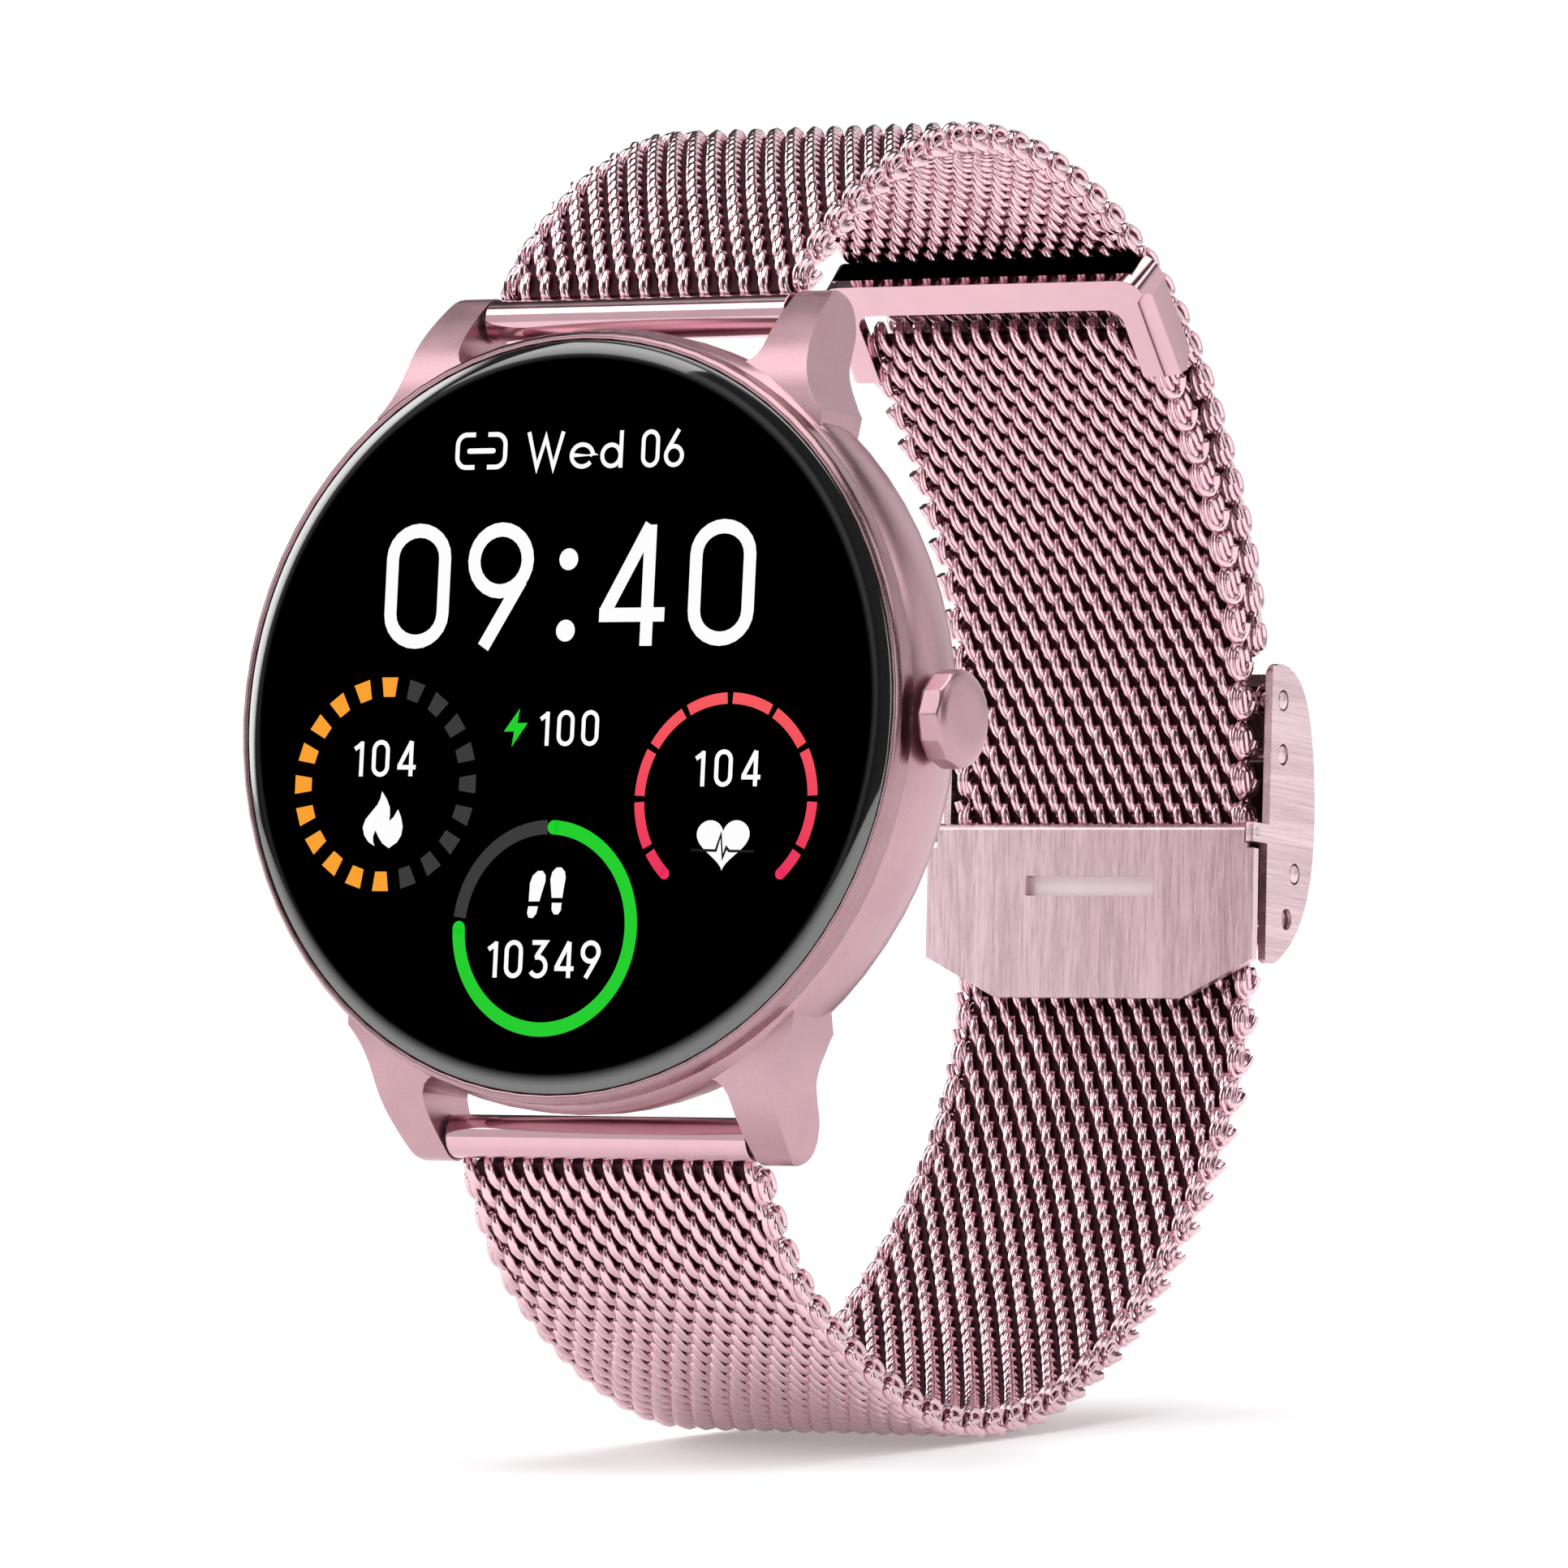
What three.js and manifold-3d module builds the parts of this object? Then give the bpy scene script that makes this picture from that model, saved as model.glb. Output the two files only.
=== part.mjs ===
// Round smartwatch on a woven-mesh bracelet with a sliding clasp.
// Millimetres. The dial faces -Y, 12 o'clock is +Z, the crown is on +X.
// The origin is the centre of the flat sensor window that rests on the wrist.
// Shapes are drawn with y = 0 at the rim of the cover glass, then moved to the origin.
import * as THREE from "three";
import { mergeVertices } from "three/addons/utils/BufferGeometryUtils.js";
import Module from "manifold-3d";

const wasm = await Module();
wasm.setup();

// ---- driving dimensions -------------------------------------------------
const FIT = 0.1;                 // clearance between seated parts
const SEGMENTS = 72;             // facets round the case

const CASE_R = 22.3;             // case wall
const CASE_FRONT_Y = 1.5;        // front face of the case ring
const CASE_WALL_END_Y = 3.8;     // where the side wall turns under
const CASE_TUCK = 3.5;           // how far the rear face lies inside the side wall
const CASE_WALL = 2.1;
const CASE_FRONT_CHAMFER = 0.75;
const BEZEL_STEP = 0.35;         // bezel inside the case wall
const BEZEL_RIM = 0.55;          // width of the bezel round the glass

const GLASS_CROWN = 0.35;        // height of the glass above its rim
const GLASS_THICK = 1.1;
const PANEL_THICK = 0.8;
const CHASSIS_THICK = 0.8;
const BOARD_THICK = 0.8;
const BATTERY = { x: 23, z: 17, thick: 4.0 };

const BACK_STEP = 0.3;           // rear cover inside the case's rear face
const BACK_THICK = 1.3;
const BACK_CHAMFER = 0.9;
const GASKET_THICK = 0.15;
const WINDOW_R = 10.0;           // sensor window
const WINDOW_LIP_R = 9.1;
const WINDOW_FLAT_R = 7.2;
const WINDOW_HEIGHT = 1.0;       // how far it stands out of the rear cover
const SCREW_INSET = 1.85;        // screw centre to the edge of the rear cover
const SCREW_SEAT = 1.9;          // screw centre to the rear opening
const SCREW_HEAD_R = 0.9;
const SCREW_SHANK_R = 0.5;
const PIN_SPACING = 5.2;         // between the two charging pins
const PIN_R = 0.9;

const CROWN_Y = 3.15;
const CROWN_R = 2.8;
const CROWN_FACETS = 12;
const CROWN_THICK = 1.8;
const CROWN_GAP = 0.45;          // cap to case wall
const CROWN_TRAVEL = 0.35;
const STEM_R = 0.7;
const STEM_CLEARANCE = 0.15;
const SLEEVE_R = 1.25;
const CLIP_R = 1.1;
const SWITCH = { depth: 2.4, half: 1.05 };

const STRAP_WIDTH = 20;
const STRAP_THICK = 1.7;
const LUG_CLEARANCE = 0.25;      // strap edge to lug
const BAR_Y = 6.5;               // spring bars
const BAR_OUT = 1.1;             // spring bar outside the case wall
const BAR_R = 0.75;
const BAR_BORE_R = 0.58;
const TIP_R = 0.4;
const TIP_SHOULDER_R = 0.5;
const TIP_DEPTH = 1.0;           // how far a tip enters its lug
const END_TUBE_R = 1.25;
const END_TUBE_BORE_R = 0.92;

const CLASP_SIDE = 1.35;         // clasp's side beyond the strap's edge
const FLANGE_THICK = 0.5;
const COVER_WALL = 0.7;
const PLATE_THICK = 0.6;
const PLATE_FOLD_R = 0.45;
const PLATE_FOLD_AT = { y: 60.5, z: -1.05 };
const PLATE_FOOT_AT = { y: 61.05, z: -11.1 };
const PLATE_SHOULDER_Z = -8.7;
const PLATE_NOTCH_Z = -2.05;     // the plate narrows above this to pass the hinge lobes
const PLATE_TAPER = 5.05;        // how much narrower the tongue is, each side
const PLATE_SLOT = { half: 4.45, z: -4.35, height: 1.2 };
const LOCK_PIN_R = 0.22;
const RIVET_R = 0.55;
const KNUCKLE_R = 1.0;
const KNUCKLE_AT = { y: 63.0, z: 7.1 };
const HOOK_PIN_AT = { y: 63.25, z: 3.85 };
const GUIDE_PIN_AT = { y: 65.3, z: -3.2 };
const STOP_PIN_AT = { y: 64.5, z: -6.0 };

const KEEPER_SIDE = 1.2;         // keeper's side beyond the strap's edge
const KEEPER_PLATE = 0.8;
const KEEPER_PRONG = 2.1;
const KEEPER_BRIDGE = 2.1;
const KEEPER_CHANNEL_GAP = 0.35;

// Middle lines of the two bracelet halves, as (y, z) points from the spring bar outwards, drawn
// for the case radius and the strap thickness below and moved when either changes.
const DRAWN_CASE_R = 22.3;
const DRAWN_STRAP_THICK = 1.7;
const DRAWN_STRAP_HALF = 10;
const UPPER_LINE = [
  [7.35, 24.75], [9.2, 27.4], [12.4, 30.25], [15.7, 32.5], [22.4, 35.5], [27.5, 36.4], [33.0, 36.3],
  [40.6, 34.6], [48.5, 30.75], [52.75, 27.35], [56.55, 22.75], [59.95, 17.4], [61.65, 13.6], [62.95, 8.4],
];
const LOWER_LINE = [
  [7.45, -24.7], [10.9, -29.5], [14.6, -32.5], [21.8, -36.0], [29.0, -37.8], [35.9, -37.6], [43.1, -35.6],
  [50.3, -31.4], [57.3, -24.3], [60.75, -19.1], [62.4, -15.0], [62.95, -11.2], [62.75, -7.0],
  [62.2, -1.2], [61.45, 3.8], [60.6, 8.5], [58.7, 14.2], [55.6, 19.2], [53.05, 22.3], [50.4, 25.2], [47.3, 28.6],
];
const KEEPER_LINE = [[48.2, 24.95], [43.5, 30.1]];   // its inner face, bottom to top
const KEEPER_DEPTH = { bottom: 2.6, top: 2.6 };

// ---- worked-out places ---------------------------------------------------
const BEZEL_R = CASE_R - BEZEL_STEP;
const GLASS_R = BEZEL_R - BEZEL_RIM;
const CAVITY_R = CASE_R - CASE_WALL;
const BEZEL_LEDGE_R = CAVITY_R + 0.35;
const CASE_REAR_R = CASE_R - CASE_TUCK;
const BACK_R = CASE_REAR_R - BACK_STEP;
const SCREW_CIRCLE_R = BACK_R - SCREW_INSET;
const REAR_OPENING_R = SCREW_CIRCLE_R - SCREW_SEAT;
const BAR_Z = CASE_R + BAR_OUT;
const HALF_STRAP = STRAP_WIDTH / 2;
const LUG_INNER_X = HALF_STRAP + LUG_CLEARANCE;
const CLASP_HALF = HALF_STRAP + CLASP_SIDE;
const PLATE_TIP_HALF = CLASP_HALF - PLATE_TAPER;
const KEEPER_HALF = HALF_STRAP + KEEPER_SIDE;
const CASE_GROWTH = CASE_R - DRAWN_CASE_R;
const WIDTH_GROWTH = HALF_STRAP - DRAWN_STRAP_HALF;
const HALF_GROWTH = (STRAP_THICK - DRAWN_STRAP_THICK) / 2;
const PANEL_R = CAVITY_R - FIT;
const PANEL_Y = GLASS_THICK + FIT;
const CHASSIS_Y = PANEL_Y + PANEL_THICK + FIT;
const BOARD_Y = CHASSIS_Y + CHASSIS_THICK + FIT;
const BATTERY_Y = BOARD_Y + BOARD_THICK + FIT;
const CASE_REAR_Y = BATTERY_Y + BATTERY.thick + 1.0;   // rear face of the case ring
const BACK_Y = CASE_REAR_Y + GASKET_THICK;
const WINDOW_Y = BACK_Y + BACK_THICK;
const FACE_Y = WINDOW_Y + WINDOW_HEIGHT;
const FLANGE_INNER_X = CLASP_HALF - FLANGE_THICK;
const STEM_END_X = CAVITY_R - 1.3;
const CROWN_X = CASE_R + CROWN_GAP;

// The clasp's parts inside the lower half move towards the dial when the mesh is thicker, the parts
// outside it move away.
const inward = ({ y, z }) => ({ y: y - HALF_GROWTH, z });
const outward = ({ y, z }) => ({ y: y + HALF_GROWTH, z });
const PLATE_FOLD = inward(PLATE_FOLD_AT);
const PLATE_FOOT = inward(PLATE_FOOT_AT);
const KNUCKLE = outward(KNUCKLE_AT);
const HOOK_PIN = outward(HOOK_PIN_AT);
const GUIDE_PIN = outward(GUIDE_PIN_AT);
const STOP_PIN = outward(STOP_PIN_AT);

// ---- materials -------------------------------------------------------------
const paint = (color, roughness, metalness) => new THREE.MeshStandardMaterial({ color, roughness, metalness });
const SATIN = paint(0xd9a7b1, 0.42, 1.0);
const POLISHED = paint(0xc98f9e, 0.12, 1.0);
const BRUSHED = paint(0xd3aab4, 0.3, 1.0);
const STEEL = paint(0xb9bcc0, 0.3, 1.0);
const GLASS = paint(0x0a0a0c, 0.05, 0.0);
const BLACK = paint(0x08080a, 0.4, 0.0);
const RUBBER = paint(0x16161a, 0.8, 0.0);
const BOARD = paint(0x1d5a3a, 0.6, 0.0);
const CELL = paint(0x9a9da3, 0.45, 0.6);
const GOLD = paint(0xd8b25a, 0.25, 1.0);

// ---- geometry helpers --------------------------------------------------------
const watch = new THREE.Group();
watch.name = "watch";
watch.position.y = -FACE_Y;

function signedVolume(position, index) {
  const a = new THREE.Vector3();
  const b = new THREE.Vector3();
  const c = new THREE.Vector3();
  let volume = 0;
  for (let i = 0; i < index.length; i += 3) {
    a.fromBufferAttribute(position, index[i]);
    b.fromBufferAttribute(position, index[i + 1]);
    c.fromBufferAttribute(position, index[i + 2]);
    volume += a.dot(b.cross(c)) / 6;
  }
  return volume;
}

// A closed body: merged vertices, no empty faces, faces pointing out.
function closed(geometry) {
  const bare = geometry.clone();
  bare.deleteAttribute("normal");
  bare.deleteAttribute("uv");
  const merged = mergeVertices(bare, 1e-4);
  const source = merged.index.array;
  const kept = [];
  for (let i = 0; i < source.length; i += 3) {
    const [a, b, c] = [source[i], source[i + 1], source[i + 2]];
    if (a !== b && b !== c && c !== a) {
      kept.push(a, b, c);
    }
  }
  if (signedVolume(merged.attributes.position, kept) < 0) {
    kept.reverse();
  }
  merged.setIndex(kept);
  return merged;
}

function toSolid(geometry) {
  const body = closed(geometry);
  return new wasm.Manifold(new wasm.Mesh({
    numProp: 3,
    vertProperties: new Float32Array(body.attributes.position.array),
    triVerts: new Uint32Array(body.index.array),
  }));
}

function fromSolid(solid) {
  const mesh = solid.getMesh();
  const geometry = new THREE.BufferGeometry();
  geometry.setAttribute("position", new THREE.BufferAttribute(mesh.vertProperties, 3));
  geometry.setIndex(new THREE.BufferAttribute(mesh.triVerts, 1));
  return geometry;
}

function join(first, ...others) {
  return fromSolid(others.reduce((solid, other) => solid.add(toSolid(other)), toSolid(first)));
}

function cut(first, ...others) {
  return fromSolid(others.reduce((solid, other) => solid.subtract(toSolid(other)), toSolid(first)));
}

function common(first, second) {
  return fromSolid(toSolid(first).intersect(toSolid(second)));
}

function part(name, geometry, material) {
  const mesh = new THREE.Mesh(closed(geometry), material);
  mesh.name = name;
  watch.add(mesh);
  return mesh;
}

// Profile of (radius, y) points turned about the Y axis.
function turned(profile, segments = SEGMENTS) {
  return new THREE.LatheGeometry(profile.map(([r, y]) => new THREE.Vector2(r, y)), segments);
}

// The same profile turned about the X axis at (y, z): its second value runs along X.
function turnedX(profile, y, z, segments = 20) {
  const geometry = turned(profile, segments);
  geometry.rotateZ(-Math.PI / 2);
  geometry.translate(0, y, z);
  return geometry;
}

function rodX(radius, x0, x1, y, z, segments = 20) {
  return turnedX([[0, x0], [radius, x0], [radius, x1], [0, x1]], y, z, segments);
}

function ringX(outer, inner, x0, x1, y, z, segments = 20) {
  return turnedX([[inner, x0], [outer, x0], [outer, x1], [inner, x1], [inner, x0]], y, z, segments);
}

function rodY(radius, y0, y1, x, z, segments = 24) {
  const geometry = turned([[0, y0], [radius, y0], [radius, y1], [0, y1]], segments);
  geometry.translate(x, 0, z);
  return geometry;
}

function ringY(outer, inner, y0, y1, segments = SEGMENTS) {
  return turned([[inner, y0], [outer, y0], [outer, y1], [inner, y1], [inner, y0]], segments);
}

function block(x0, x1, y0, y1, z0, z1) {
  const geometry = new THREE.BoxGeometry(x1 - x0, y1 - y0, z1 - z0);
  geometry.translate((x0 + x1) / 2, (y0 + y1) / 2, (z0 + z1) / 2);
  return geometry;
}

function outline(points) {
  return new THREE.Shape(points.map(([u, v]) => new THREE.Vector2(u, v)));
}

function prism(shape, depth, curveSegments) {
  return new THREE.ExtrudeGeometry(shape, { depth, bevelEnabled: false, curveSegments });
}

// A (y, z) outline extruded along X.
function slabX(shape, x0, x1, curveSegments = 8) {
  const geometry = prism(shape, x1 - x0, curveSegments);
  geometry.applyMatrix4(new THREE.Matrix4().set(0, 0, 1, x0, 1, 0, 0, 0, 0, 1, 0, 0, 0, 0, 0, 1));
  return geometry;
}

// An (x, z) outline extruded along Y.
function slabY(shape, y0, y1, curveSegments = 8) {
  const geometry = prism(shape, y1 - y0, curveSegments);
  geometry.applyMatrix4(new THREE.Matrix4().set(1, 0, 0, 0, 0, 0, -1, y1, 0, 1, 0, 0, 0, 0, 0, 1));
  return geometry;
}

function roundedRectangle(halfWidth, halfHeight, radius, cx = 0, cz = 0) {
  const shape = new THREE.Shape();
  const corners = [[1, -1, -90], [1, 1, 0], [-1, 1, 90], [-1, -1, 180]];
  for (const [sx, sz, start] of corners) {
    const x = cx + sx * (halfWidth - radius);
    const z = cz + sz * (halfHeight - radius);
    const from = THREE.MathUtils.degToRad(start);
    shape.absarc(x, z, radius, from, from + Math.PI / 2, false);
  }
  shape.closePath();
  return shape;
}

function mirrored(geometry, sx, sz) {
  const copy = geometry.clone();
  copy.scale(sx, 1, sz);
  return closed(copy);
}

// Points at even steps along a smooth line through (y, z) points, with their unit normals.
function stations(line, steps) {
  const curve = new THREE.CatmullRomCurve3(line.map(([y, z]) => new THREE.Vector3(0, y, z)), false, "centripetal");
  const found = [];
  for (let i = 0; i <= steps; i += 1) {
    const at = curve.getPointAt(i / steps);
    const along = curve.getTangentAt(i / steps);
    found.push({ y: at.y, z: at.z, ny: -along.z, nz: along.y });
  }
  return found;
}

function ribbon(line, thickness, steps) {
  const half = thickness / 2;
  const found = stations(line, steps);
  const outer = found.map((s) => [s.y + s.ny * half, s.z + s.nz * half]);
  const inner = found.map((s) => [s.y - s.ny * half, s.z - s.nz * half]);
  return outline([...outer, ...inner.reverse()]);
}

// ---- case, with its four lugs ---------------------------------------------------
// The lug's side outline is drawn as (y, z) with z from the spring bar, and its plan as (x, z) with
// x from the strap's edge.
const LUG_FRONT = [[2.3, -3.8], [3.1, -1.9], [4.3, -0.45], [5.7, 0.8]];
const LUG_REAR = [[8.3, -1.1], [7.65, -2.3], [7.2, -3.2], [7.05, -4.1], [6.9, -5.0], [6.4, -6.0]];
const LUG_ROOT_Z = -7.4;

function lugSolid() {
  const sidePoints = (points) => points.map(([y, z]) => new THREE.Vector2(y, BAR_Z + z));
  const side = new THREE.Shape();
  side.moveTo(1.9, BAR_Z + LUG_ROOT_Z);
  side.lineTo(1.9, BAR_Z - 6.0);
  side.splineThru(sidePoints(LUG_FRONT));
  side.quadraticCurveTo(6.3, BAR_Z + 1.45, 7.2, BAR_Z + 1.4);
  side.quadraticCurveTo(8.2, BAR_Z + 1.2, 8.45, BAR_Z);
  side.splineThru(sidePoints(LUG_REAR));
  side.lineTo(6.0, BAR_Z + LUG_ROOT_Z);
  const plan = new THREE.Shape();
  const x = LUG_INNER_X;
  plan.moveTo(x - 1.9, BAR_Z + LUG_ROOT_Z);
  plan.lineTo(x - 1.9, BAR_Z - 3.25 - WIDTH_GROWTH / 2);
  plan.quadraticCurveTo(x, BAR_Z - 3.35 - WIDTH_GROWTH / 2, x, BAR_Z - 1.6);
  plan.lineTo(x, BAR_Z + 1.6);
  plan.lineTo(x + 1.85, BAR_Z + 1.6);
  plan.quadraticCurveTo(x + 2.4, BAR_Z + 1.3, x + 2.5, BAR_Z + 0.5);
  plan.lineTo(x + 3.1, BAR_Z - 3.2);
  plan.quadraticCurveTo(x + 3.35, BAR_Z - 4.7, x + 4.55, BAR_Z - 6.0);
  plan.lineTo(x + 4.55, BAR_Z + LUG_ROOT_Z);
  return common(slabX(side, x - 2, x + 5, 4), slabY(plan, CASE_FRONT_Y, 9.0, 5));
}

function caseMiddle() {
  const outer = turned([
    [0, CASE_FRONT_Y], [BEZEL_R - 0.1, CASE_FRONT_Y], [CASE_R, CASE_FRONT_Y + CASE_FRONT_CHAMFER],
    [CASE_R, CASE_WALL_END_Y],
    ...[15, 30, 45, 60, 75, 90].map((degrees) => {
      const angle = THREE.MathUtils.degToRad(degrees);
      return [
        CASE_REAR_R + (CASE_R - CASE_REAR_R) * Math.cos(angle),
        CASE_WALL_END_Y + (CASE_REAR_Y - CASE_WALL_END_Y) * Math.sin(angle),
      ];
    }),
    [0, CASE_REAR_Y],
  ]);
  const lug = lugSolid();
  const lugs = [[1, 1], [-1, 1], [1, -1], [-1, -1]].map(([sx, sz]) => mirrored(lug, sx, sz));
  const cavity = turned([
    [0, CASE_FRONT_Y - 1], [CAVITY_R, CASE_FRONT_Y - 1], [CAVITY_R, CASE_REAR_Y - 1.6],
    [REAR_OPENING_R, CASE_REAR_Y - 1.1], [REAR_OPENING_R, CASE_REAR_Y + 1], [0, CASE_REAR_Y + 1],
  ]);
  const barHoleX = LUG_INNER_X + TIP_DEPTH + FIT;
  const barHoles = [BAR_Z, -BAR_Z].map((z) => rodX(TIP_R + 0.06, -barHoleX, barHoleX, BAR_Y, z, 12));
  const sleeveHole = rodX(SLEEVE_R + FIT / 2, CAVITY_R - 2, CASE_R + 1, CROWN_Y, 0);
  const speakerSlot = block(-CASE_R - 1, -CAVITY_R + 1, CROWN_Y - 0.4, CROWN_Y + 0.4, -3.2, 3.2);
  const microphoneHole = rodX(0.4, -CASE_R - 1, -CAVITY_R + 2.5, CROWN_Y, -6.4, 12);
  const screwHoles = screwPlaces().map(({ x, z }) => rodY(SCREW_SHANK_R + 0.06, CASE_REAR_Y - 0.95, BACK_Y, x, z, 12));
  return cut(join(outer, ...lugs), cavity, sleeveHole, speakerSlot, microphoneHole, ...barHoles, ...screwHoles);
}

function screwPlaces() {
  return [45, 135, 225, 315].map((degrees) => {
    const angle = THREE.MathUtils.degToRad(degrees);
    return { x: SCREW_CIRCLE_R * Math.cos(angle), z: SCREW_CIRCLE_R * Math.sin(angle) };
  });
}

part("case_middle", caseMiddle(), SATIN);

// ---- front: bezel ring, glass, display ---------------------------------------------
part("bezel_ring", turned([
  [GLASS_R + FIT / 2, 0.05], [GLASS_R + 0.25, 0.0], [BEZEL_R - 0.1, 0.2], [BEZEL_R, 0.5],
  [BEZEL_R, CASE_FRONT_Y - 0.02], [BEZEL_LEDGE_R, CASE_FRONT_Y - 0.02], [BEZEL_LEDGE_R, GLASS_THICK + FIT],
  [GLASS_R + FIT / 2, GLASS_THICK + FIT], [GLASS_R + FIT / 2, 0.05],
]), SATIN);

part("cover_glass", turned([
  [0, GLASS_THICK], [GLASS_R, GLASS_THICK], [GLASS_R, 0.02], [GLASS_R - 0.25, -0.12], [GLASS_R - 0.7, -0.26],
  [GLASS_R - 1.3, -GLASS_CROWN], [0, -GLASS_CROWN],
]), GLASS);

part("display_panel", rodY(PANEL_R, PANEL_Y, PANEL_Y + PANEL_THICK, 0, 0, SEGMENTS), BLACK);

// The plate and the board are both notched round the crown's stem and switch.
const crownNotch = block(STEM_END_X - 4.2, CAVITY_R + 1, CHASSIS_Y - 1, BATTERY_Y + 1, -2.6, 2.6);

part("chassis_plate", cut(
  rodY(CAVITY_R - FIT, CHASSIS_Y, CHASSIS_Y + CHASSIS_THICK, 0, 0, SEGMENTS),
  slabY(roundedRectangle(4, 1.6, 0.8, 0, -15), CHASSIS_Y - 1, CHASSIS_Y + 2, 3),
  crownNotch,
), STEEL);

// ---- inside: board, battery, motor, speaker, microphone ------------------------------
part("main_board", cut(rodY(CAVITY_R - 0.5, BOARD_Y, BOARD_Y + BOARD_THICK, 0, 0, 64), crownNotch), BOARD);

part("battery", slabY(roundedRectangle(BATTERY.x / 2, BATTERY.z / 2, 1.5), BATTERY_Y, BATTERY_Y + BATTERY.thick, 4), CELL);
part("vibration_motor", rodY(4.0, BATTERY_Y, BATTERY_Y + 2.8, 8.5, -13.4, 32), STEEL);
part("speaker_unit", slabY(roundedRectangle(2.2, 5.6, 0.9, -15.6, 0), BATTERY_Y, BATTERY_Y + 2.6, 3), BLACK);
part("microphone_unit", slabY(roundedRectangle(1.3, 1.5, 0.3, -15.4, -8.2), BATTERY_Y, BATTERY_Y + 1.0, 2), CELL);
part("heart_rate_board", rodY(7.6, BATTERY_Y + BATTERY.thick + FIT, BATTERY_Y + BATTERY.thick + 0.7, 0, 0, 48), BOARD);

// ---- rear cover, sensor window, charging pins, screws ---------------------------------
function rearCover() {
  const disc = turned([
    [WINDOW_LIP_R + FIT, BACK_Y], [BACK_R, BACK_Y], [BACK_R, BACK_Y + 0.4],
    [BACK_R - BACK_CHAMFER, BACK_Y + BACK_THICK], [WINDOW_R + FIT, BACK_Y + BACK_THICK],
    [WINDOW_R + FIT, BACK_Y + BACK_THICK - 0.5], [WINDOW_LIP_R + FIT, BACK_Y + BACK_THICK - 0.5],
    [WINDOW_LIP_R + FIT, BACK_Y],
  ]);
  const screwHoles = screwPlaces().map(({ x, z }) => join(
    rodY(SCREW_SHANK_R + 0.06, BACK_Y - 1, BACK_Y + 2, x, z, 12),
    rodY(SCREW_HEAD_R + FIT, BACK_Y + 0.6, BACK_Y + 3, x, z, 16),
  ));
  const pinHoles = [-1, 1].map((side) => rodY(PIN_R + 0.06, BACK_Y - 1, BACK_Y + 3, side * PIN_SPACING / 2, -13.2, 20));
  return cut(disc, ...screwHoles, ...pinHoles);
}
part("rear_cover", rearCover(), SATIN);
part("rear_gasket", ringY(REAR_OPENING_R + 0.75, REAR_OPENING_R + 0.15, CASE_REAR_Y + 0.01, BACK_Y - 0.01, 64), RUBBER);

part("sensor_window", turned([
  [0, BACK_Y + 0.1], [WINDOW_LIP_R, BACK_Y + 0.1], [WINDOW_LIP_R, WINDOW_Y - 0.5 + FIT],
  [WINDOW_R, WINDOW_Y - 0.5 + FIT], [WINDOW_R, WINDOW_Y + 0.1], [WINDOW_R - 0.5, WINDOW_Y + 0.45],
  [WINDOW_R - 1.4, FACE_Y - 0.18], [WINDOW_FLAT_R, FACE_Y], [0, FACE_Y],
], 60), GLASS);

[-1, 1].forEach((side) => {
  const x = side * PIN_SPACING / 2;
  const pin = turned([
    [0, BACK_Y - 0.6], [PIN_R, BACK_Y - 0.6], [PIN_R, BACK_Y + BACK_THICK], [PIN_R - 0.15, BACK_Y + BACK_THICK + 0.12],
    [0, BACK_Y + BACK_THICK + 0.12],
  ], 20);
  pin.translate(x, 0, -13.2);
  part(side < 0 ? "charging_pin_left" : "charging_pin_right", pin, GOLD);
});

screwPlaces().forEach(({ x, z }, i) => {
  const head = rodY(SCREW_HEAD_R, BACK_Y + 0.65, BACK_Y + 1.15, 0, 0, 16);
  const shank = rodY(SCREW_SHANK_R, CASE_REAR_Y - 0.9, BACK_Y + 0.8, 0, 0, 12);
  const slot = block(-0.12, 0.12, BACK_Y + 0.95, BACK_Y + 2, -SCREW_HEAD_R * 0.7, SCREW_HEAD_R * 0.7);
  const crossSlot = block(-SCREW_HEAD_R * 0.7, SCREW_HEAD_R * 0.7, BACK_Y + 0.95, BACK_Y + 2, -0.12, 0.12);
  const screw = cut(join(head, shank), slot, crossSlot);
  screw.translate(x, 0, z);
  part(`rear_screw_${i + 1}`, screw, STEEL);
});

// ---- crown: sleeve, switch, stem, clip, cap --------------------------------------------
part("crown_sleeve", ringX(SLEEVE_R, STEM_R + STEM_CLEARANCE, CAVITY_R - 0.2, CASE_R + 0.02, CROWN_Y, 0), STEEL);
const SWITCH_X = STEM_END_X - CROWN_TRAVEL - FIT;
part("crown_switch", block(
  SWITCH_X - SWITCH.depth, SWITCH_X, CROWN_Y - SWITCH.half, CROWN_Y + SWITCH.half, -SWITCH.half, SWITCH.half,
), BLACK);
part("crown_clip", ringX(CLIP_R, STEM_R + 0.06, STEM_END_X + 0.25, STEM_END_X + 0.7, CROWN_Y, 0), STEEL);
part("crown_stem", rodX(STEM_R, STEM_END_X, CROWN_X - 0.02, CROWN_Y, 0), STEEL);

function crownCap() {
  const facetted = turnedX([
    [0, CROWN_X], [CROWN_R * 0.94, CROWN_X], [CROWN_R, CROWN_X + 0.25], [CROWN_R, CROWN_X + CROWN_THICK],
    [0, CROWN_X + CROWN_THICK],
  ], CROWN_Y, 0, CROWN_FACETS);
  const domed = turnedX([
    [0, CROWN_X - 1], [CROWN_R * 1.1, CROWN_X - 1], [CROWN_R * 1.1, CROWN_X + CROWN_THICK * 0.55],
    [CROWN_R * 0.93, CROWN_X + CROWN_THICK * 0.86], [CROWN_R * 0.8, CROWN_X + CROWN_THICK * 0.95],
    [CROWN_R * 0.45, CROWN_X + CROWN_THICK * 0.995], [0, CROWN_X + CROWN_THICK],
  ], CROWN_Y, 0, 36);
  return common(facetted, domed);
}
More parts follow.
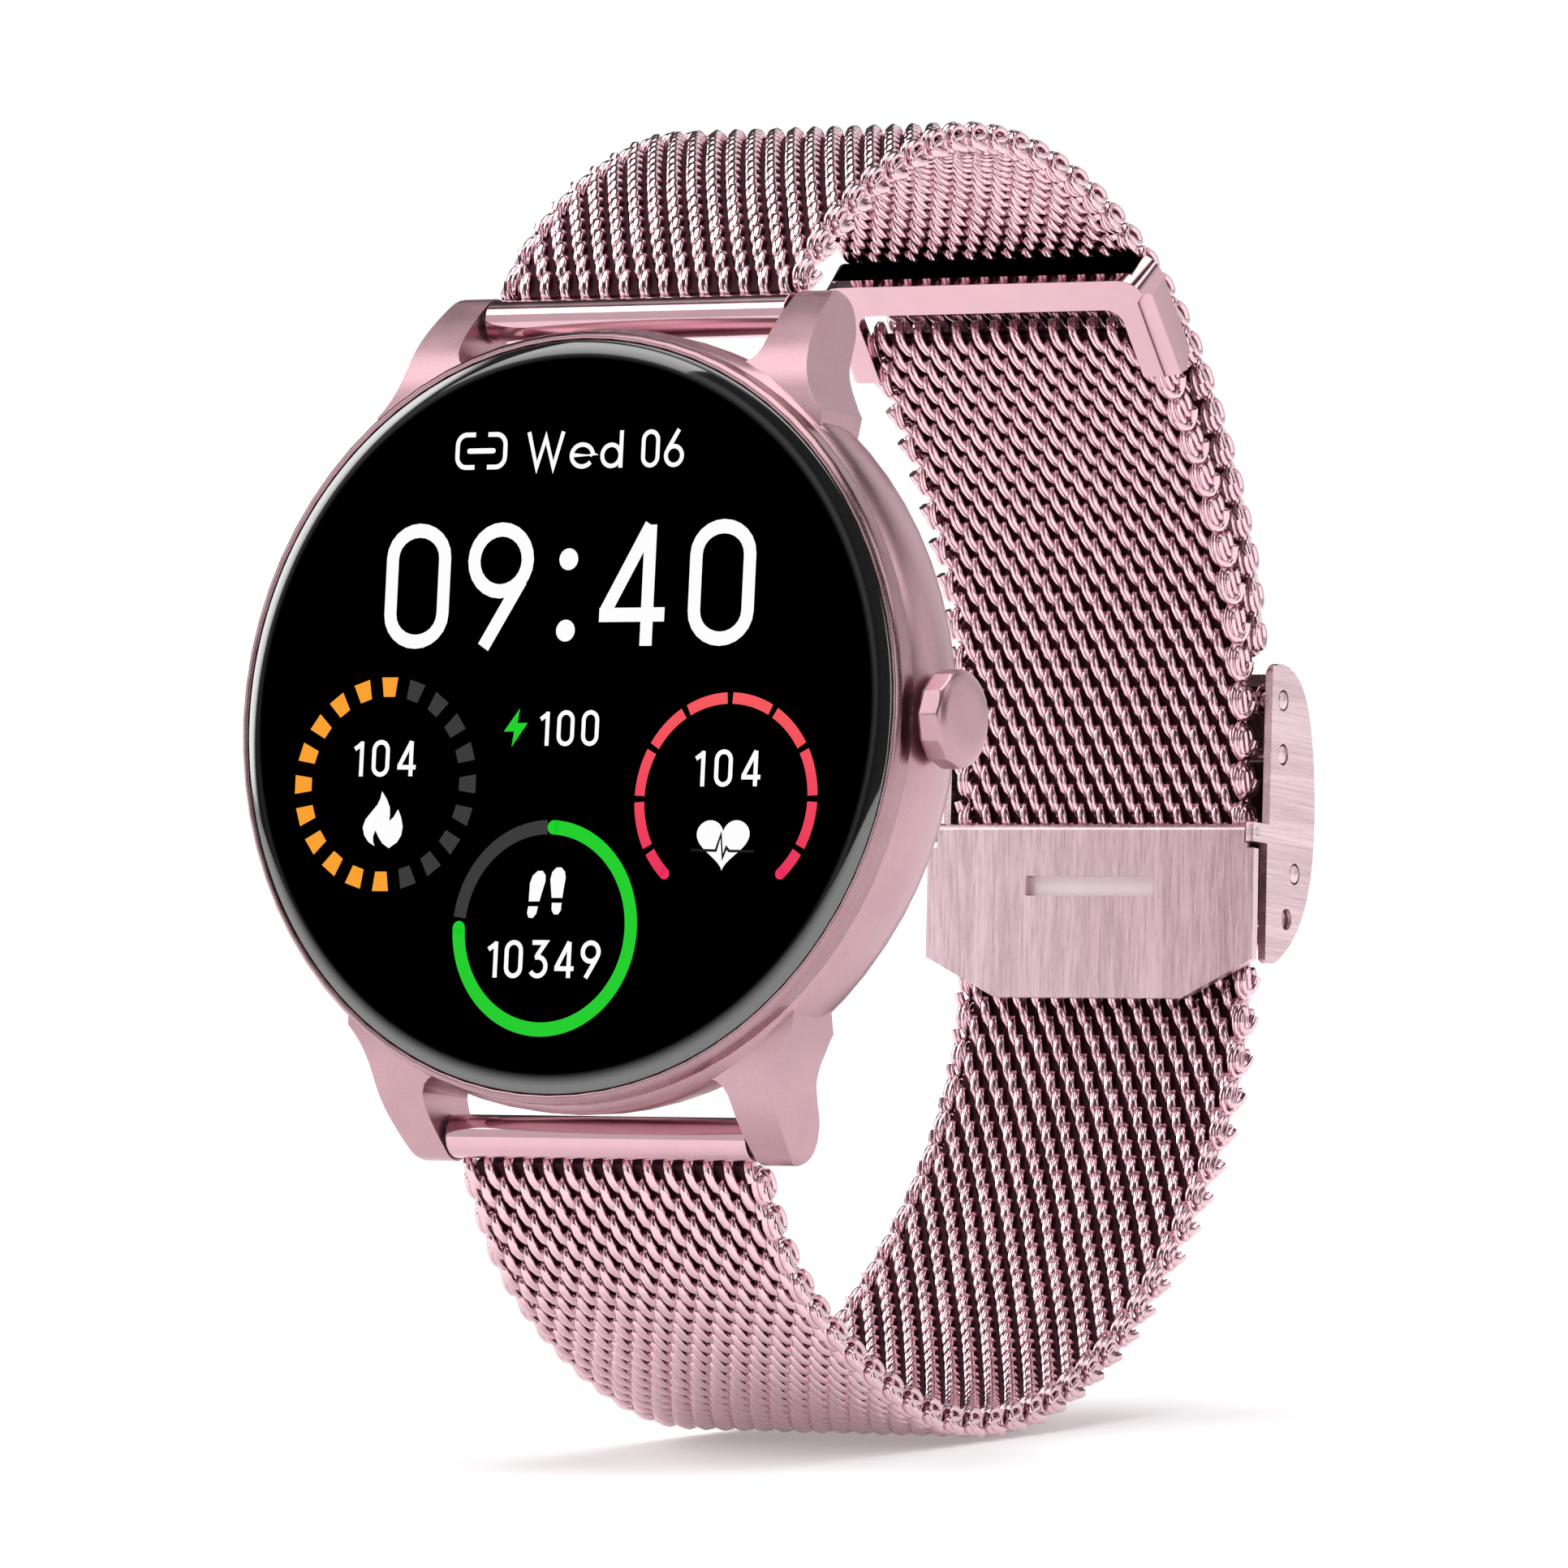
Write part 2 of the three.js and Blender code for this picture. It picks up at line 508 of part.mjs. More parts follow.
part("crown_cap", crownCap(), SATIN);

// ---- spring bars ------------------------------------------------------------------------
const BAR_END_X = LUG_INNER_X - 0.45;
for (const [place, z] of [["upper", BAR_Z], ["lower", -BAR_Z]]) {
  part(`${place}_bar_tube`, turnedX([
    [BAR_BORE_R, -BAR_END_X + 0.35], [TIP_R + 0.05, -BAR_END_X + 0.3], [TIP_R + 0.05, -BAR_END_X],
    [BAR_R, -BAR_END_X], [BAR_R, BAR_END_X], [TIP_R + 0.05, BAR_END_X], [TIP_R + 0.05, BAR_END_X - 0.3],
    [BAR_BORE_R, BAR_END_X - 0.35], [BAR_BORE_R, -BAR_END_X + 0.35],
  ], BAR_Y, z, 16), STEEL);
  for (const [side, sx] of [["left", -1], ["right", 1]]) {
    const tip = turnedX([
      [0, BAR_END_X - 1.5], [TIP_SHOULDER_R, BAR_END_X - 1.5], [TIP_SHOULDER_R, BAR_END_X - 0.45],
      [TIP_R, BAR_END_X - 0.45], [TIP_R, LUG_INNER_X + TIP_DEPTH - 0.15],
      [TIP_R - 0.12, LUG_INNER_X + TIP_DEPTH], [0, LUG_INNER_X + TIP_DEPTH],
    ], BAR_Y, z, 12);
    part(`${place}_bar_tip_${side}`, mirrored(tip, sx, 1), STEEL);
  }
}

// ---- bracelet halves ---------------------------------------------------------------------
for (const [place, z] of [["upper", BAR_Z], ["lower", -BAR_Z]]) {
  const tube = ringX(END_TUBE_R, END_TUBE_BORE_R, -HALF_STRAP, HALF_STRAP, BAR_Y, z, 32);
  part(`${place}_end_tube`, tube, POLISHED);
}

// A drawn line moved out with the lugs: points near the clasp stay, points near the case move fully.
const STILL_Z = 12;
const MOVED_Z = 24;
function moved(line) {
  return line.map(([y, z]) => {
    const share = THREE.MathUtils.clamp((Math.abs(z) - STILL_Z) / (MOVED_Z - STILL_Z), 0, 1);
    return [y, z + Math.sign(z) * CASE_GROWTH * share];
  });
}

// The upper half runs outside the end of the lower half, so a thicker mesh moves its clasp end out.
const LAP_START_Y = 40;
function lappedOutside(line) {
  return line.map(([y, z]) => {
    const share = THREE.MathUtils.clamp((y - LAP_START_Y) / 10, 0, 1);
    return [y + HALF_GROWTH * share, z + HALF_GROWTH * share];
  });
}
part("upper_mesh_strap",
  slabX(ribbon(lappedOutside(moved(UPPER_LINE)), STRAP_THICK, 44), -HALF_STRAP, HALF_STRAP), POLISHED);
part("lower_mesh_strap", slabX(ribbon(moved(LOWER_LINE), STRAP_THICK, 56), -HALF_STRAP, HALF_STRAP), POLISHED);

// ---- tail keeper: a polished U-shaped channel round the end of the lower half --------------
function tailKeeper() {
  const [[y0, z0], [y1, z1]] = moved(KEEPER_LINE).map(([y, z]) => [y - HALF_GROWTH, z - HALF_GROWTH]);
  const length = Math.hypot(y1 - y0, z1 - z0);
  const along = [(y1 - y0) / length, (z1 - z0) / length];
  const out = [along[1], -along[0]];
  const at = (s, t) => [y0 + along[0] * s + out[0] * t, z0 + along[1] * s + out[1] * t];
  const whole = slabX(outline([
    at(0, 0), at(length, 0), at(length, KEEPER_DEPTH.top), at(0.4, KEEPER_DEPTH.bottom), at(-0.6, KEEPER_DEPTH.bottom - 1),
  ]), -KEEPER_HALF, KEEPER_HALF);
  const inside = HALF_STRAP + KEEPER_CHANNEL_GAP;
  const channel = slabX(outline([
    at(-2, KEEPER_PLATE), at(length + 2, KEEPER_PLATE), at(length + 2, 9), at(-2, 9),
  ]), -inside, inside);
  const bridgeEnd = length - KEEPER_BRIDGE;
  const window = slabX(outline([at(-2, -1), at(bridgeEnd, -1), at(bridgeEnd, 3), at(-2, 3)]),
    -KEEPER_HALF + KEEPER_PRONG, KEEPER_HALF - KEEPER_PRONG);
  return cut(whole, channel, window);
}
part("tail_keeper", tailKeeper(), POLISHED);

// ---- clasp ----------------------------------------------------------------------------------
function claspProfile(inset) {
  const shape = new THREE.Shape();
  shape.moveTo(61.55, 8.6 - inset);
  shape.quadraticCurveTo(61.8, 9.3 - inset, 62.8, 9.3 - inset);
  shape.bezierCurveTo(65.6 - inset, 9.0 - inset, 66.8 - inset, 6.8 - inset, 67.4 - inset, 1.8);
  shape.bezierCurveTo(67.9 - inset, -3.0, 67.2 - inset, -6.6 + inset, 63.6 - inset, -8.6 + inset);
  shape.quadraticCurveTo(63.1, -8.85 + inset, 62.5, -8.8 + inset);
  shape.lineTo(62.1, -8.6 + inset);
  shape.lineTo(61.75, -1.9);
  shape.lineTo(61.9, -0.4);
  shape.lineTo(61.55, 8.6 - inset);
  return shape;
}

function claspCover() {
  const whole = slabX(claspProfile(0), -CLASP_HALF, CLASP_HALF, 10);
  const hollow = slabX(claspProfile(COVER_WALL), -FLANGE_INNER_X, FLANGE_INNER_X, 10);
  whole.translate(0, HALF_GROWTH, 0);
  hollow.translate(0, HALF_GROWTH, 0);
  const strapWay = slabX(outline([
    [58, 12], [64.35, 12], [64.35, 8], [64.35, 2], [65.2, -2], [64.75, -8], [64.6, -12], [58, -12],
  ].map(([y, z]) => [y + HALF_GROWTH, z])), -FLANGE_INNER_X, FLANGE_INNER_X);
  const lobes = [-1, 1].map((side) => {
    const x = side * (CLASP_HALF - FLANGE_THICK / 2);
    const lobeY = PLATE_FOLD.y - 0.55;
    const rootY = 62.2 + HALF_GROWTH;
    return slabX(outline([[lobeY, -0.5], [lobeY, -1.65], [rootY, -1.65], [rootY, -0.5]]),
      x - FLANGE_THICK / 2, x + FLANGE_THICK / 2);
  });
  const pinHoles = [KNUCKLE, HOOK_PIN, GUIDE_PIN, STOP_PIN]
    .map(({ y, z }) => rodX(RIVET_R + 0.1, -CLASP_HALF - 1, CLASP_HALF + 1, y, z, 20));
  const lockPinHole = rodX(LOCK_PIN_R + 0.04, -CLASP_HALF - 1, CLASP_HALF + 1, PLATE_FOLD.y, PLATE_FOLD.z, 12);
  return cut(join(cut(whole, hollow, strapWay), ...lobes), ...pinHoles, lockPinHole);
}
part("clasp_cover", claspCover(), BRUSHED);

for (const [name, { y, z }, sunk] of [
  ["clasp_knuckle_pin", KNUCKLE, 0.0], ["clasp_hook_pin", HOOK_PIN, 0.05],
  ["clasp_guide_pin", GUIDE_PIN, 0.0], ["clasp_stop_pin", STOP_PIN, 0.3],
]) {
  part(name, rodX(RIVET_R, -CLASP_HALF + sunk, CLASP_HALF - sunk, y, z, 20), BRUSHED);
}
part("upper_end_knuckle",
  ringX(KNUCKLE_R, RIVET_R + 0.1, -HALF_STRAP, HALF_STRAP, KNUCKLE.y, KNUCKLE.z, 28), POLISHED);

// Lock plate: rolled round its pin at the top, tapered to a tongue at the bottom.
function lockPlate() {
  const slope = (PLATE_FOOT.y - PLATE_FOLD.y) / (PLATE_FOLD.z - PLATE_FOOT.z);
  const faceAt = (z) => PLATE_FOLD.y - PLATE_FOLD_R + slope * (PLATE_FOLD.z - z);
  const sheet = slabX(outline([
    [faceAt(PLATE_FOLD.z), PLATE_FOLD.z], [faceAt(PLATE_FOOT.z), PLATE_FOOT.z],
    [faceAt(PLATE_FOOT.z) + PLATE_THICK, PLATE_FOOT.z], [faceAt(PLATE_FOLD.z) + PLATE_THICK, PLATE_FOLD.z],
  ]), -CLASP_HALF, CLASP_HALF);
  const roll = rodX(PLATE_FOLD_R, -CLASP_HALF, CLASP_HALF, PLATE_FOLD.y, PLATE_FOLD.z, 20);
  const plan = slabY(outline([
    [-CLASP_HALF, PLATE_SHOULDER_Z], [-CLASP_HALF, PLATE_NOTCH_Z], [-FLANGE_INNER_X + 0.15, PLATE_NOTCH_Z],
    [-FLANGE_INNER_X + 0.15, 1], [FLANGE_INNER_X - 0.15, 1], [FLANGE_INNER_X - 0.15, PLATE_NOTCH_Z],
    [CLASP_HALF, PLATE_NOTCH_Z], [CLASP_HALF, PLATE_SHOULDER_Z], [PLATE_TIP_HALF, PLATE_FOOT.z - 0.1],
    [-PLATE_TIP_HALF, PLATE_FOOT.z - 0.1],
  ]), 58, 64);
  const slot = slabY(roundedRectangle(PLATE_SLOT.half, PLATE_SLOT.height / 2, 0.2, 0, PLATE_SLOT.z), 58, 64, 3);
  const bore = rodX(LOCK_PIN_R + 0.05, -CLASP_HALF - 1, CLASP_HALF + 1, PLATE_FOLD.y, PLATE_FOLD.z, 12);
  return cut(common(join(sheet, roll), plan), slot, bore);
}
part("lock_plate", lockPlate(), BRUSHED);
part("lock_plate_pin", rodX(LOCK_PIN_R, -CLASP_HALF, CLASP_HALF, PLATE_FOLD.y, PLATE_FOLD.z, 12), STEEL);

export default watch;
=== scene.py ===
"""Round smartwatch on a woven steel mesh bracelet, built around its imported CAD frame.

Metres. The dial faces -Y, 12 o'clock is +Z and the crown is on +X. The origin is the centre of the
flat sensor window on the back. Helpers that draw a shape take millimetres.
"""
import math

import bmesh
import bpy
from mathutils import Matrix, Vector


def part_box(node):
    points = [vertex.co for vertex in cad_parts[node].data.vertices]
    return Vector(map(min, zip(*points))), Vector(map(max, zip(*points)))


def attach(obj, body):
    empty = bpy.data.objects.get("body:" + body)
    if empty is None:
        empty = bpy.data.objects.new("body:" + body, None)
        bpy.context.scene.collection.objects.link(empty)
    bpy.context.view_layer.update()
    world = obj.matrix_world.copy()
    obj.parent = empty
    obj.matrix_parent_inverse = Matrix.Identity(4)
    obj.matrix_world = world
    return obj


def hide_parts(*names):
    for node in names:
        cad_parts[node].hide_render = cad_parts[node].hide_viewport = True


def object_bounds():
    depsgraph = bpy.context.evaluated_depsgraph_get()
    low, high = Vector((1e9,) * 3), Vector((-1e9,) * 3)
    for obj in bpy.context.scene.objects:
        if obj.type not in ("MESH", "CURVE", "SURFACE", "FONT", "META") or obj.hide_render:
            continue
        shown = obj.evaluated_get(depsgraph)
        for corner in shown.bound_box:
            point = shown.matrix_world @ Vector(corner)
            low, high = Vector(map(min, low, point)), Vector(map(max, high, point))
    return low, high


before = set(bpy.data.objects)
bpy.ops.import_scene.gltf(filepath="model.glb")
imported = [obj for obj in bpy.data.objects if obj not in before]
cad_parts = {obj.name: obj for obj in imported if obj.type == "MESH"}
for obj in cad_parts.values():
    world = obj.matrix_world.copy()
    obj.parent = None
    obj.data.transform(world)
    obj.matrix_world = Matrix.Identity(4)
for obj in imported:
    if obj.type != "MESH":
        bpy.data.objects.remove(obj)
cad_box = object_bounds()
scene = bpy.context.scene

# ---- camera -------------------------------------------------------------------------------------
# A long lens from the crown side, a little below the middle of the dial.
CAMERA_PLACE = Vector((0.37950, -0.61351, -0.06168))
CAMERA_RIGHT = Vector((0.85631, 0.51439, 0.04629))
CAMERA_UP = Vector((0.00262, -0.09395, 0.99557))
SENSOR_MM = 36.0
LENS_MM = 290.8

camera_back = CAMERA_RIGHT.cross(CAMERA_UP)
camera = bpy.data.objects.new("camera", bpy.data.cameras.new("camera"))
scene.collection.objects.link(camera)
camera.data.sensor_width = SENSOR_MM
camera.data.lens = LENS_MM
camera.data.clip_start, camera.data.clip_end = 0.01, 20
camera.matrix_world = Matrix.Translation(CAMERA_PLACE) @ Matrix(
    (CAMERA_RIGHT, CAMERA_UP, camera_back)).transposed().to_4x4()
scene.camera = camera
scene.view_settings.view_transform = "Standard"


# ---- materials and shapes -----------------------------------------------------------------------
class Value:
    """A shader socket that writes its own Math nodes."""

    def __init__(self, tree, socket):
        self.tree, self.socket = tree, socket

    def maths(self, operation, first, second):
        node = self.tree.nodes.new("ShaderNodeMath")
        node.operation = operation
        for slot_at, value in enumerate((first, second)):
            if isinstance(value, Value):
                self.tree.links.new(value.socket, node.inputs[slot_at])
            else:
                node.inputs[slot_at].default_value = value
        return Value(self.tree, node.outputs[0])

    def __add__(self, other):
        return self.maths("ADD", self, other)

    def __mul__(self, other):
        return self.maths("MULTIPLY", self, other)

    def __sub__(self, other):
        return self.maths("SUBTRACT", self, other)

    def __rsub__(self, other):
        return self.maths("SUBTRACT", other, self)


class Finish:
    """A material of this watch, or its studio world, and the nodes that make it."""

    def __init__(self, name, holder=None):
        self.material = holder or bpy.data.materials.new(name)
        self.material.use_nodes = True
        self.tree = self.material.node_tree
        self.tree.nodes.clear()

    def node(self, kind, settings=None, **values):
        node = self.tree.nodes.new(kind)
        for key, value in (settings or {}).items():
            setattr(node, key, value)
        for key, value in values.items():
            socket = node.inputs[int(key[1:])] if key[1:].isdigit() else node.inputs[key.replace("_", " ")]
            if isinstance(value, Value):
                self.tree.links.new(value.socket, socket)
            else:
                socket.default_value = value
        return node

    def out(self, kind, output, settings=None, **values):
        return Value(self.tree, self.node(kind, settings, **values).outputs[output])

    def place(self):
        return self.out("ShaderNodeTexCoord", "Object")

    def stretched(self, scale, turn=(0, 0, 0)):
        return self.out("ShaderNodeMapping", 0, Vector=self.place(), Scale=scale, Rotation=turn)

    def noise(self, vector, scale=1.0, detail=2.0, rough=0.5):
        return self.out("ShaderNodeTexNoise", 0, Vector=vector, Scale=scale, Detail=detail, Roughness=rough)

    def mix(self, factor, first, second):
        return self.out("ShaderNodeMix", 2, {"data_type": "RGBA"}, i0=factor, i6=first, i7=second)

    def spread(self, value, low, high, to_low, to_high, curve="SMOOTHSTEP"):
        return self.out("ShaderNodeMapRange", 0, {"interpolation_type": curve},
                        Value=value, i1=low, i2=high, i3=to_low, i4=to_high)

    def bump(self, height, strength, distance):
        return self.out("ShaderNodeBump", 0, Height=height, Strength=strength, Distance=distance)

    def surface(self, **values):
        shader = self.node("ShaderNodeBsdfPrincipled", None, **values)
        output = self.node("ShaderNodeOutputMaterial")
        self.tree.links.new(shader.outputs[0], output.inputs[0])
        return self.material


def rgb(red, green, blue):
    return (red, green, blue, 1.0)


GRAIN_PER_METRE = 11000
CLOUDS_PER_METRE = 260


def satin_finish(name, colours, roughness, grain=0.16):
    """Bead-blasted anodised metal: a fine even grain, a little uneven in sheen."""
    finish = Finish(name)
    grain_field = finish.noise(finish.place(), GRAIN_PER_METRE, 3.0, 0.6)
    cloud = finish.noise(finish.place(), CLOUDS_PER_METRE, 2.0)
    tint = finish.spread(grain_field * 0.6 + cloud * 0.4, 0.35, 0.65, 0.0, 1.0)
    rough = finish.spread(grain_field * 0.5 + cloud * 0.5, 0.3, 0.7, roughness - 0.05, roughness + 0.06)
    return finish.surface(
        Base_Color=finish.mix(tint, *colours), Metallic=1.0, Roughness=rough,
        Normal=finish.bump(grain_field, grain, 0.00004))


def shown(name, mesh, material, body, slot, *stands_for):
    """A finished piece: its place is in its mesh, it rides on a body and stands for CAD nodes."""
    piece = bpy.data.objects.new(name, mesh)
    scene.collection.objects.link(piece)
    if material is not None:
        mesh.materials.clear()
        mesh.materials.append(material)
    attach(piece, body)
    if stands_for:
        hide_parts(*stands_for)
    return piece


def softened(mesh, edge_mm, steps=3, angle=32, smooth_angle=38):
    """Breaks the sharp edges of a mesh and shades it smooth between them."""
    holder = bpy.data.objects.new("softening", mesh)
    scene.collection.objects.link(holder)
    bevel = holder.modifiers.new("edges", "BEVEL")
    bevel.width, bevel.segments = edge_mm / 1000, steps
    bevel.limit_method, bevel.angle_limit = "ANGLE", math.radians(angle)
    bevel.miter_outer = "MITER_ARC"
    made = bpy.data.meshes.new_from_object(holder.evaluated_get(bpy.context.evaluated_depsgraph_get()))
    bpy.data.objects.remove(holder)
    made.shade_smooth()
    made.set_sharp_from_angle(angle=math.radians(smooth_angle))
    holder = bpy.data.objects.new("weighting", made)
    scene.collection.objects.link(holder)
    weighted = holder.modifiers.new("faces", "WEIGHTED_NORMAL")
    weighted.keep_sharp = True
    final = bpy.data.meshes.new_from_object(holder.evaluated_get(bpy.context.evaluated_depsgraph_get()))
    bpy.data.objects.remove(holder)
    return final


def as_mesh(bm, name):
    """A new mesh from a bmesh, which is used up."""
    mesh = bpy.data.meshes.new(name)
    bm.to_mesh(mesh)
    bm.free()
    return mesh


def coated(material, *nodes):
    """Gives CAD solids that stay as they are their material."""
    for node in nodes:
        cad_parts[node].data.materials.clear()
        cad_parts[node].data.materials.append(material)


def merged_copy(node):
    """The CAD solid as one joined mesh with flat faces whole again."""
    bm = bmesh.new()
    bm.from_mesh(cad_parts[node].data)
    bmesh.ops.remove_doubles(bm, verts=bm.verts, dist=2e-6)
    bmesh.ops.dissolve_degenerate(bm, edges=bm.edges, dist=1e-6)
    bmesh.ops.dissolve_limit(bm, angle_limit=math.radians(0.6), verts=bm.verts, edges=bm.edges)
    return bm


def refined(name, node, material, body, slot, edge_mm, **shape):
    """The CAD solid with its edges broken, in its place."""
    mesh = as_mesh(merged_copy(node), name)
    return shown(name, softened(mesh, edge_mm, **shape), material, body, slot, node)


# ---- case ring with its four lugs ---------------------------------------------------------------
# Turned and milled aluminium, bead blasted and anodised pink. The lugs grow out of the ring in one
# piece, and every edge is broken by a fine chamfer.
satin = satin_finish("satin_anodised", (rgb(0.47, 0.285, 0.32), rgb(0.55, 0.345, 0.38)), 0.33)
refined("case_shell", "case_middle", satin, "case", "satin_metal", 0.14)

# ---- bezel ring ---------------------------------------------------------------------------------
# A thin turned ring round the glass, darker than the case, pressed into the case's front.
bezel_satin = satin_finish("bezel_anodised", (rgb(0.34, 0.20, 0.225), rgb(0.42, 0.26, 0.285)), 0.24, 0.1)
refined("bezel", "bezel_ring", bezel_satin, "case", "bezel_metal", 0.05, steps=2)


# ---- cover glass --------------------------------------------------------------------------------
# Strengthened glass, black behind, ground to a rounded edge that catches the light.
GLASS_STEPS = 180
GLASS_EDGE_START = 0.93           # share of the radius where the rounding begins
GLASS_EDGE_POWER = 2.3
GLASS_EDGE_DROP = 0.42            # the rim lies this far behind the front face
GLASS_EDGE_RINGS = 14
RIM_LIGHT_FROM, RIM_LIGHT_TO = 0.945e-3, 0.985e-3     # shares of the radius, in metres per mm


def lathed(profile, steps):
    """A closed solid turned about the Y axis from (radius, y) points in millimetres."""
    bm = bmesh.new()
    rings = []
    for radius, y in profile:
        if radius < 1e-6:
            rings.append([bm.verts.new((0, y / 1000, 0))])
            continue
        ring = []
        for step in range(steps):
            angle = 2 * math.pi * step / steps
            ring.append(bm.verts.new((radius * math.cos(angle) / 1000, y / 1000,
                                      radius * math.sin(angle) / 1000)))
        rings.append(ring)
    for lower, upper in zip(rings, rings[1:]):
        for step in range(steps):
            after = (step + 1) % steps
            corners = [lower[step % len(lower)], lower[after % len(lower)],
                       upper[after % len(upper)], upper[step % len(upper)]]
            corners = [v for at, v in enumerate(corners) if v not in corners[:at]]
            if len(corners) > 2:
                bm.faces.new(corners)
    bmesh.ops.recalc_face_normals(bm, faces=bm.faces)
    mesh = as_mesh(bm, "turned")
    mesh.shade_smooth()
    return mesh


glass_low, glass_high = (corner * 1000 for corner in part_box("cover_glass"))
glass_radius = glass_high.x
glass_front, glass_back = glass_low.y, glass_high.y
glass_rim = glass_front + GLASS_EDGE_DROP
glass_profile = [(0, glass_back), (glass_radius, glass_back), (glass_radius, glass_rim)]
for step in range(GLASS_EDGE_RINGS, -1, -1):
    share = GLASS_EDGE_START + (1 - GLASS_EDGE_START) * step / GLASS_EDGE_RINGS
    rise = ((share - GLASS_EDGE_START) / (1 - GLASS_EDGE_START)) ** GLASS_EDGE_POWER
    if step < GLASS_EDGE_RINGS:
        glass_profile.append((glass_radius * share, glass_front + (glass_rim - glass_front) * rise))
glass_profile += [(glass_radius * 0.5, glass_front), (0, glass_front)]

glass_finish = Finish("black_backed_glass")
flat_distance = glass_finish.out("ShaderNodeVectorMath", "Value", {"operation": "LENGTH"},
                                 i0=glass_finish.stretched((1, 0, 1)))
# Partly painted highlight: on the rim ring the glass gets a strong coat, which reflects the studio, and a
# faintly lighter colour, which is painted sheen.
rim_coat_and_sheen = glass_finish.spread(
    flat_distance, glass_radius * RIM_LIGHT_FROM, glass_radius * RIM_LIGHT_TO, 0.0, 1.0)
smear = glass_finish.noise(glass_finish.place(), 180, 3.0)
black_glass = glass_finish.surface(
    Base_Color=glass_finish.mix(rim_coat_and_sheen, rgb(0.0, 0.0, 0.0), rgb(0.006, 0.006, 0.007)),
    Roughness=glass_finish.spread(smear, 0.3, 0.7, 0.03, 0.06),
    Specular_IOR_Level=0.0, Coat_Weight=rim_coat_and_sheen, Coat_Roughness=0.05, Coat_IOR=2.3)
shown("front_glass", lathed(glass_profile, GLASS_STEPS), black_glass, "case", "glass", "cover_glass")

# ---- dial ---------------------------------------------------------------------------------------
# What the display shows. Every mark is a thin lit plate on the front face of the black glass, drawn
# in millimetres as (x, z) from the centre of the dial.
MARK_THICK = 0.012
WHITE, GREEN = rgb(1.0, 1.0, 1.0), rgb(0.009, 0.62, 0.02)


def lit_finish(name, low_colour, high_colour, low_z=-0.02, high_z=0.02):
    """A lit mark: an even glow with a very fine grain."""
    finish = Finish(name)
    height = finish.out("ShaderNodeSeparateXYZ", "Z", Vector=finish.place())
    shade = finish.mix(finish.spread(height, low_z, high_z, 0.0, 1.0, "LINEAR"), low_colour, high_colour)
    grain = finish.noise(finish.place(), 30000, 0.0)
    colour = finish.mix(finish.spread(grain, 0.3, 0.7, 0.0, 0.06), shade, rgb(0, 0, 0))
    return finish.surface(Base_Color=rgb(0.01, 0.01, 0.01), Roughness=finish.spread(grain, 0, 1, 0.05, 0.09),
                          Specular_IOR_Level=0.03, Emission_Color=colour, Emission_Strength=1.0)


class Marks:
    """Gathers flat marks of one colour and makes them one thin piece on the glass."""

    def __init__(self, layer=0):
        self.bm = bmesh.new()
        self.front = (glass_front - MARK_THICK * (1 + layer)) / 1000
        self.back = (glass_front + MARK_THICK) / 1000

    def corner(self, x, z, y):
        return self.bm.verts.new((x / 1000, y, z / 1000))

    def plate(self, outline):
        """A filled mark from its outline."""
        front = [self.corner(x, z, self.front) for x, z in outline]
        back = [self.corner(x, z, self.back) for x, z in outline]
        self.bm.faces.new(front)
        self.bm.faces.new(back[::-1])
        for at in range(len(outline)):
            after = (at + 1) % len(outline)
            self.bm.faces.new((front[at], back[at], back[after], front[after]))

    def stroke(self, line, width, closed=False, round_ends=False):
        """A line of even width along points."""
        points = [Vector(p) for p in line]
        count = len(points)
        sides = []
        for at, point in enumerate(points):
            before = points[at - 1] if at or closed else None
            after = points[(at + 1) % count] if at < count - 1 or closed else None
            into = (point - before).normalized() if before else None
            onward = (after - point).normalized() if after else None
            along = ((into or onward) + (onward or into)).normalized()
            stretch = 1 / max(0.35, along.dot(onward or into))
            across = Vector((-along.y, along.x)) * width / 2 * stretch
            sides.append((point + across, point - across))
        if closed:
            sides.append(sides[0])
        for (a, b), (c, d) in zip(sides, sides[1:]):
            self.plate([a, c, d, b])
        if round_ends:
            for end in (points[0], points[-1]):
                self.disc(end.x, end.y, width / 2)

    def disc(self, x, z, radius, steps=28):
        self.plate([(x + radius * math.cos(2 * math.pi * k / steps),
                     z + radius * math.sin(2 * math.pi * k / steps)) for k in range(steps)])

    def arc(self, x, z, radius, start, end, width, **ends):
        """A bent bar from one clock angle to another, clockwise from the top, in degrees."""
        steps = max(2, round(abs(end - start) / 3))
        turns = [math.radians(start + (end - start) * k / steps) for k in range(steps + 1)]
        self.stroke([(x + radius * math.sin(t), z + radius * math.cos(t)) for t in turns], width, **ends)

    def done(self, name, material):
        bmesh.ops.recalc_face_normals(self.bm, faces=self.bm.faces)
        bmesh.ops.triangulate(self.bm, faces=self.bm.faces)
        return shown(name, as_mesh(self.bm, name), material, "case", "display")


def oval(cx, cy, rx, ry, start=0, end=360, steps=24):
    turns = [math.radians(start + (end - start) * k / steps) for k in range(steps + 1)]
    return [(cx + rx * math.cos(t), cy + ry * math.sin(t)) for t in turns]


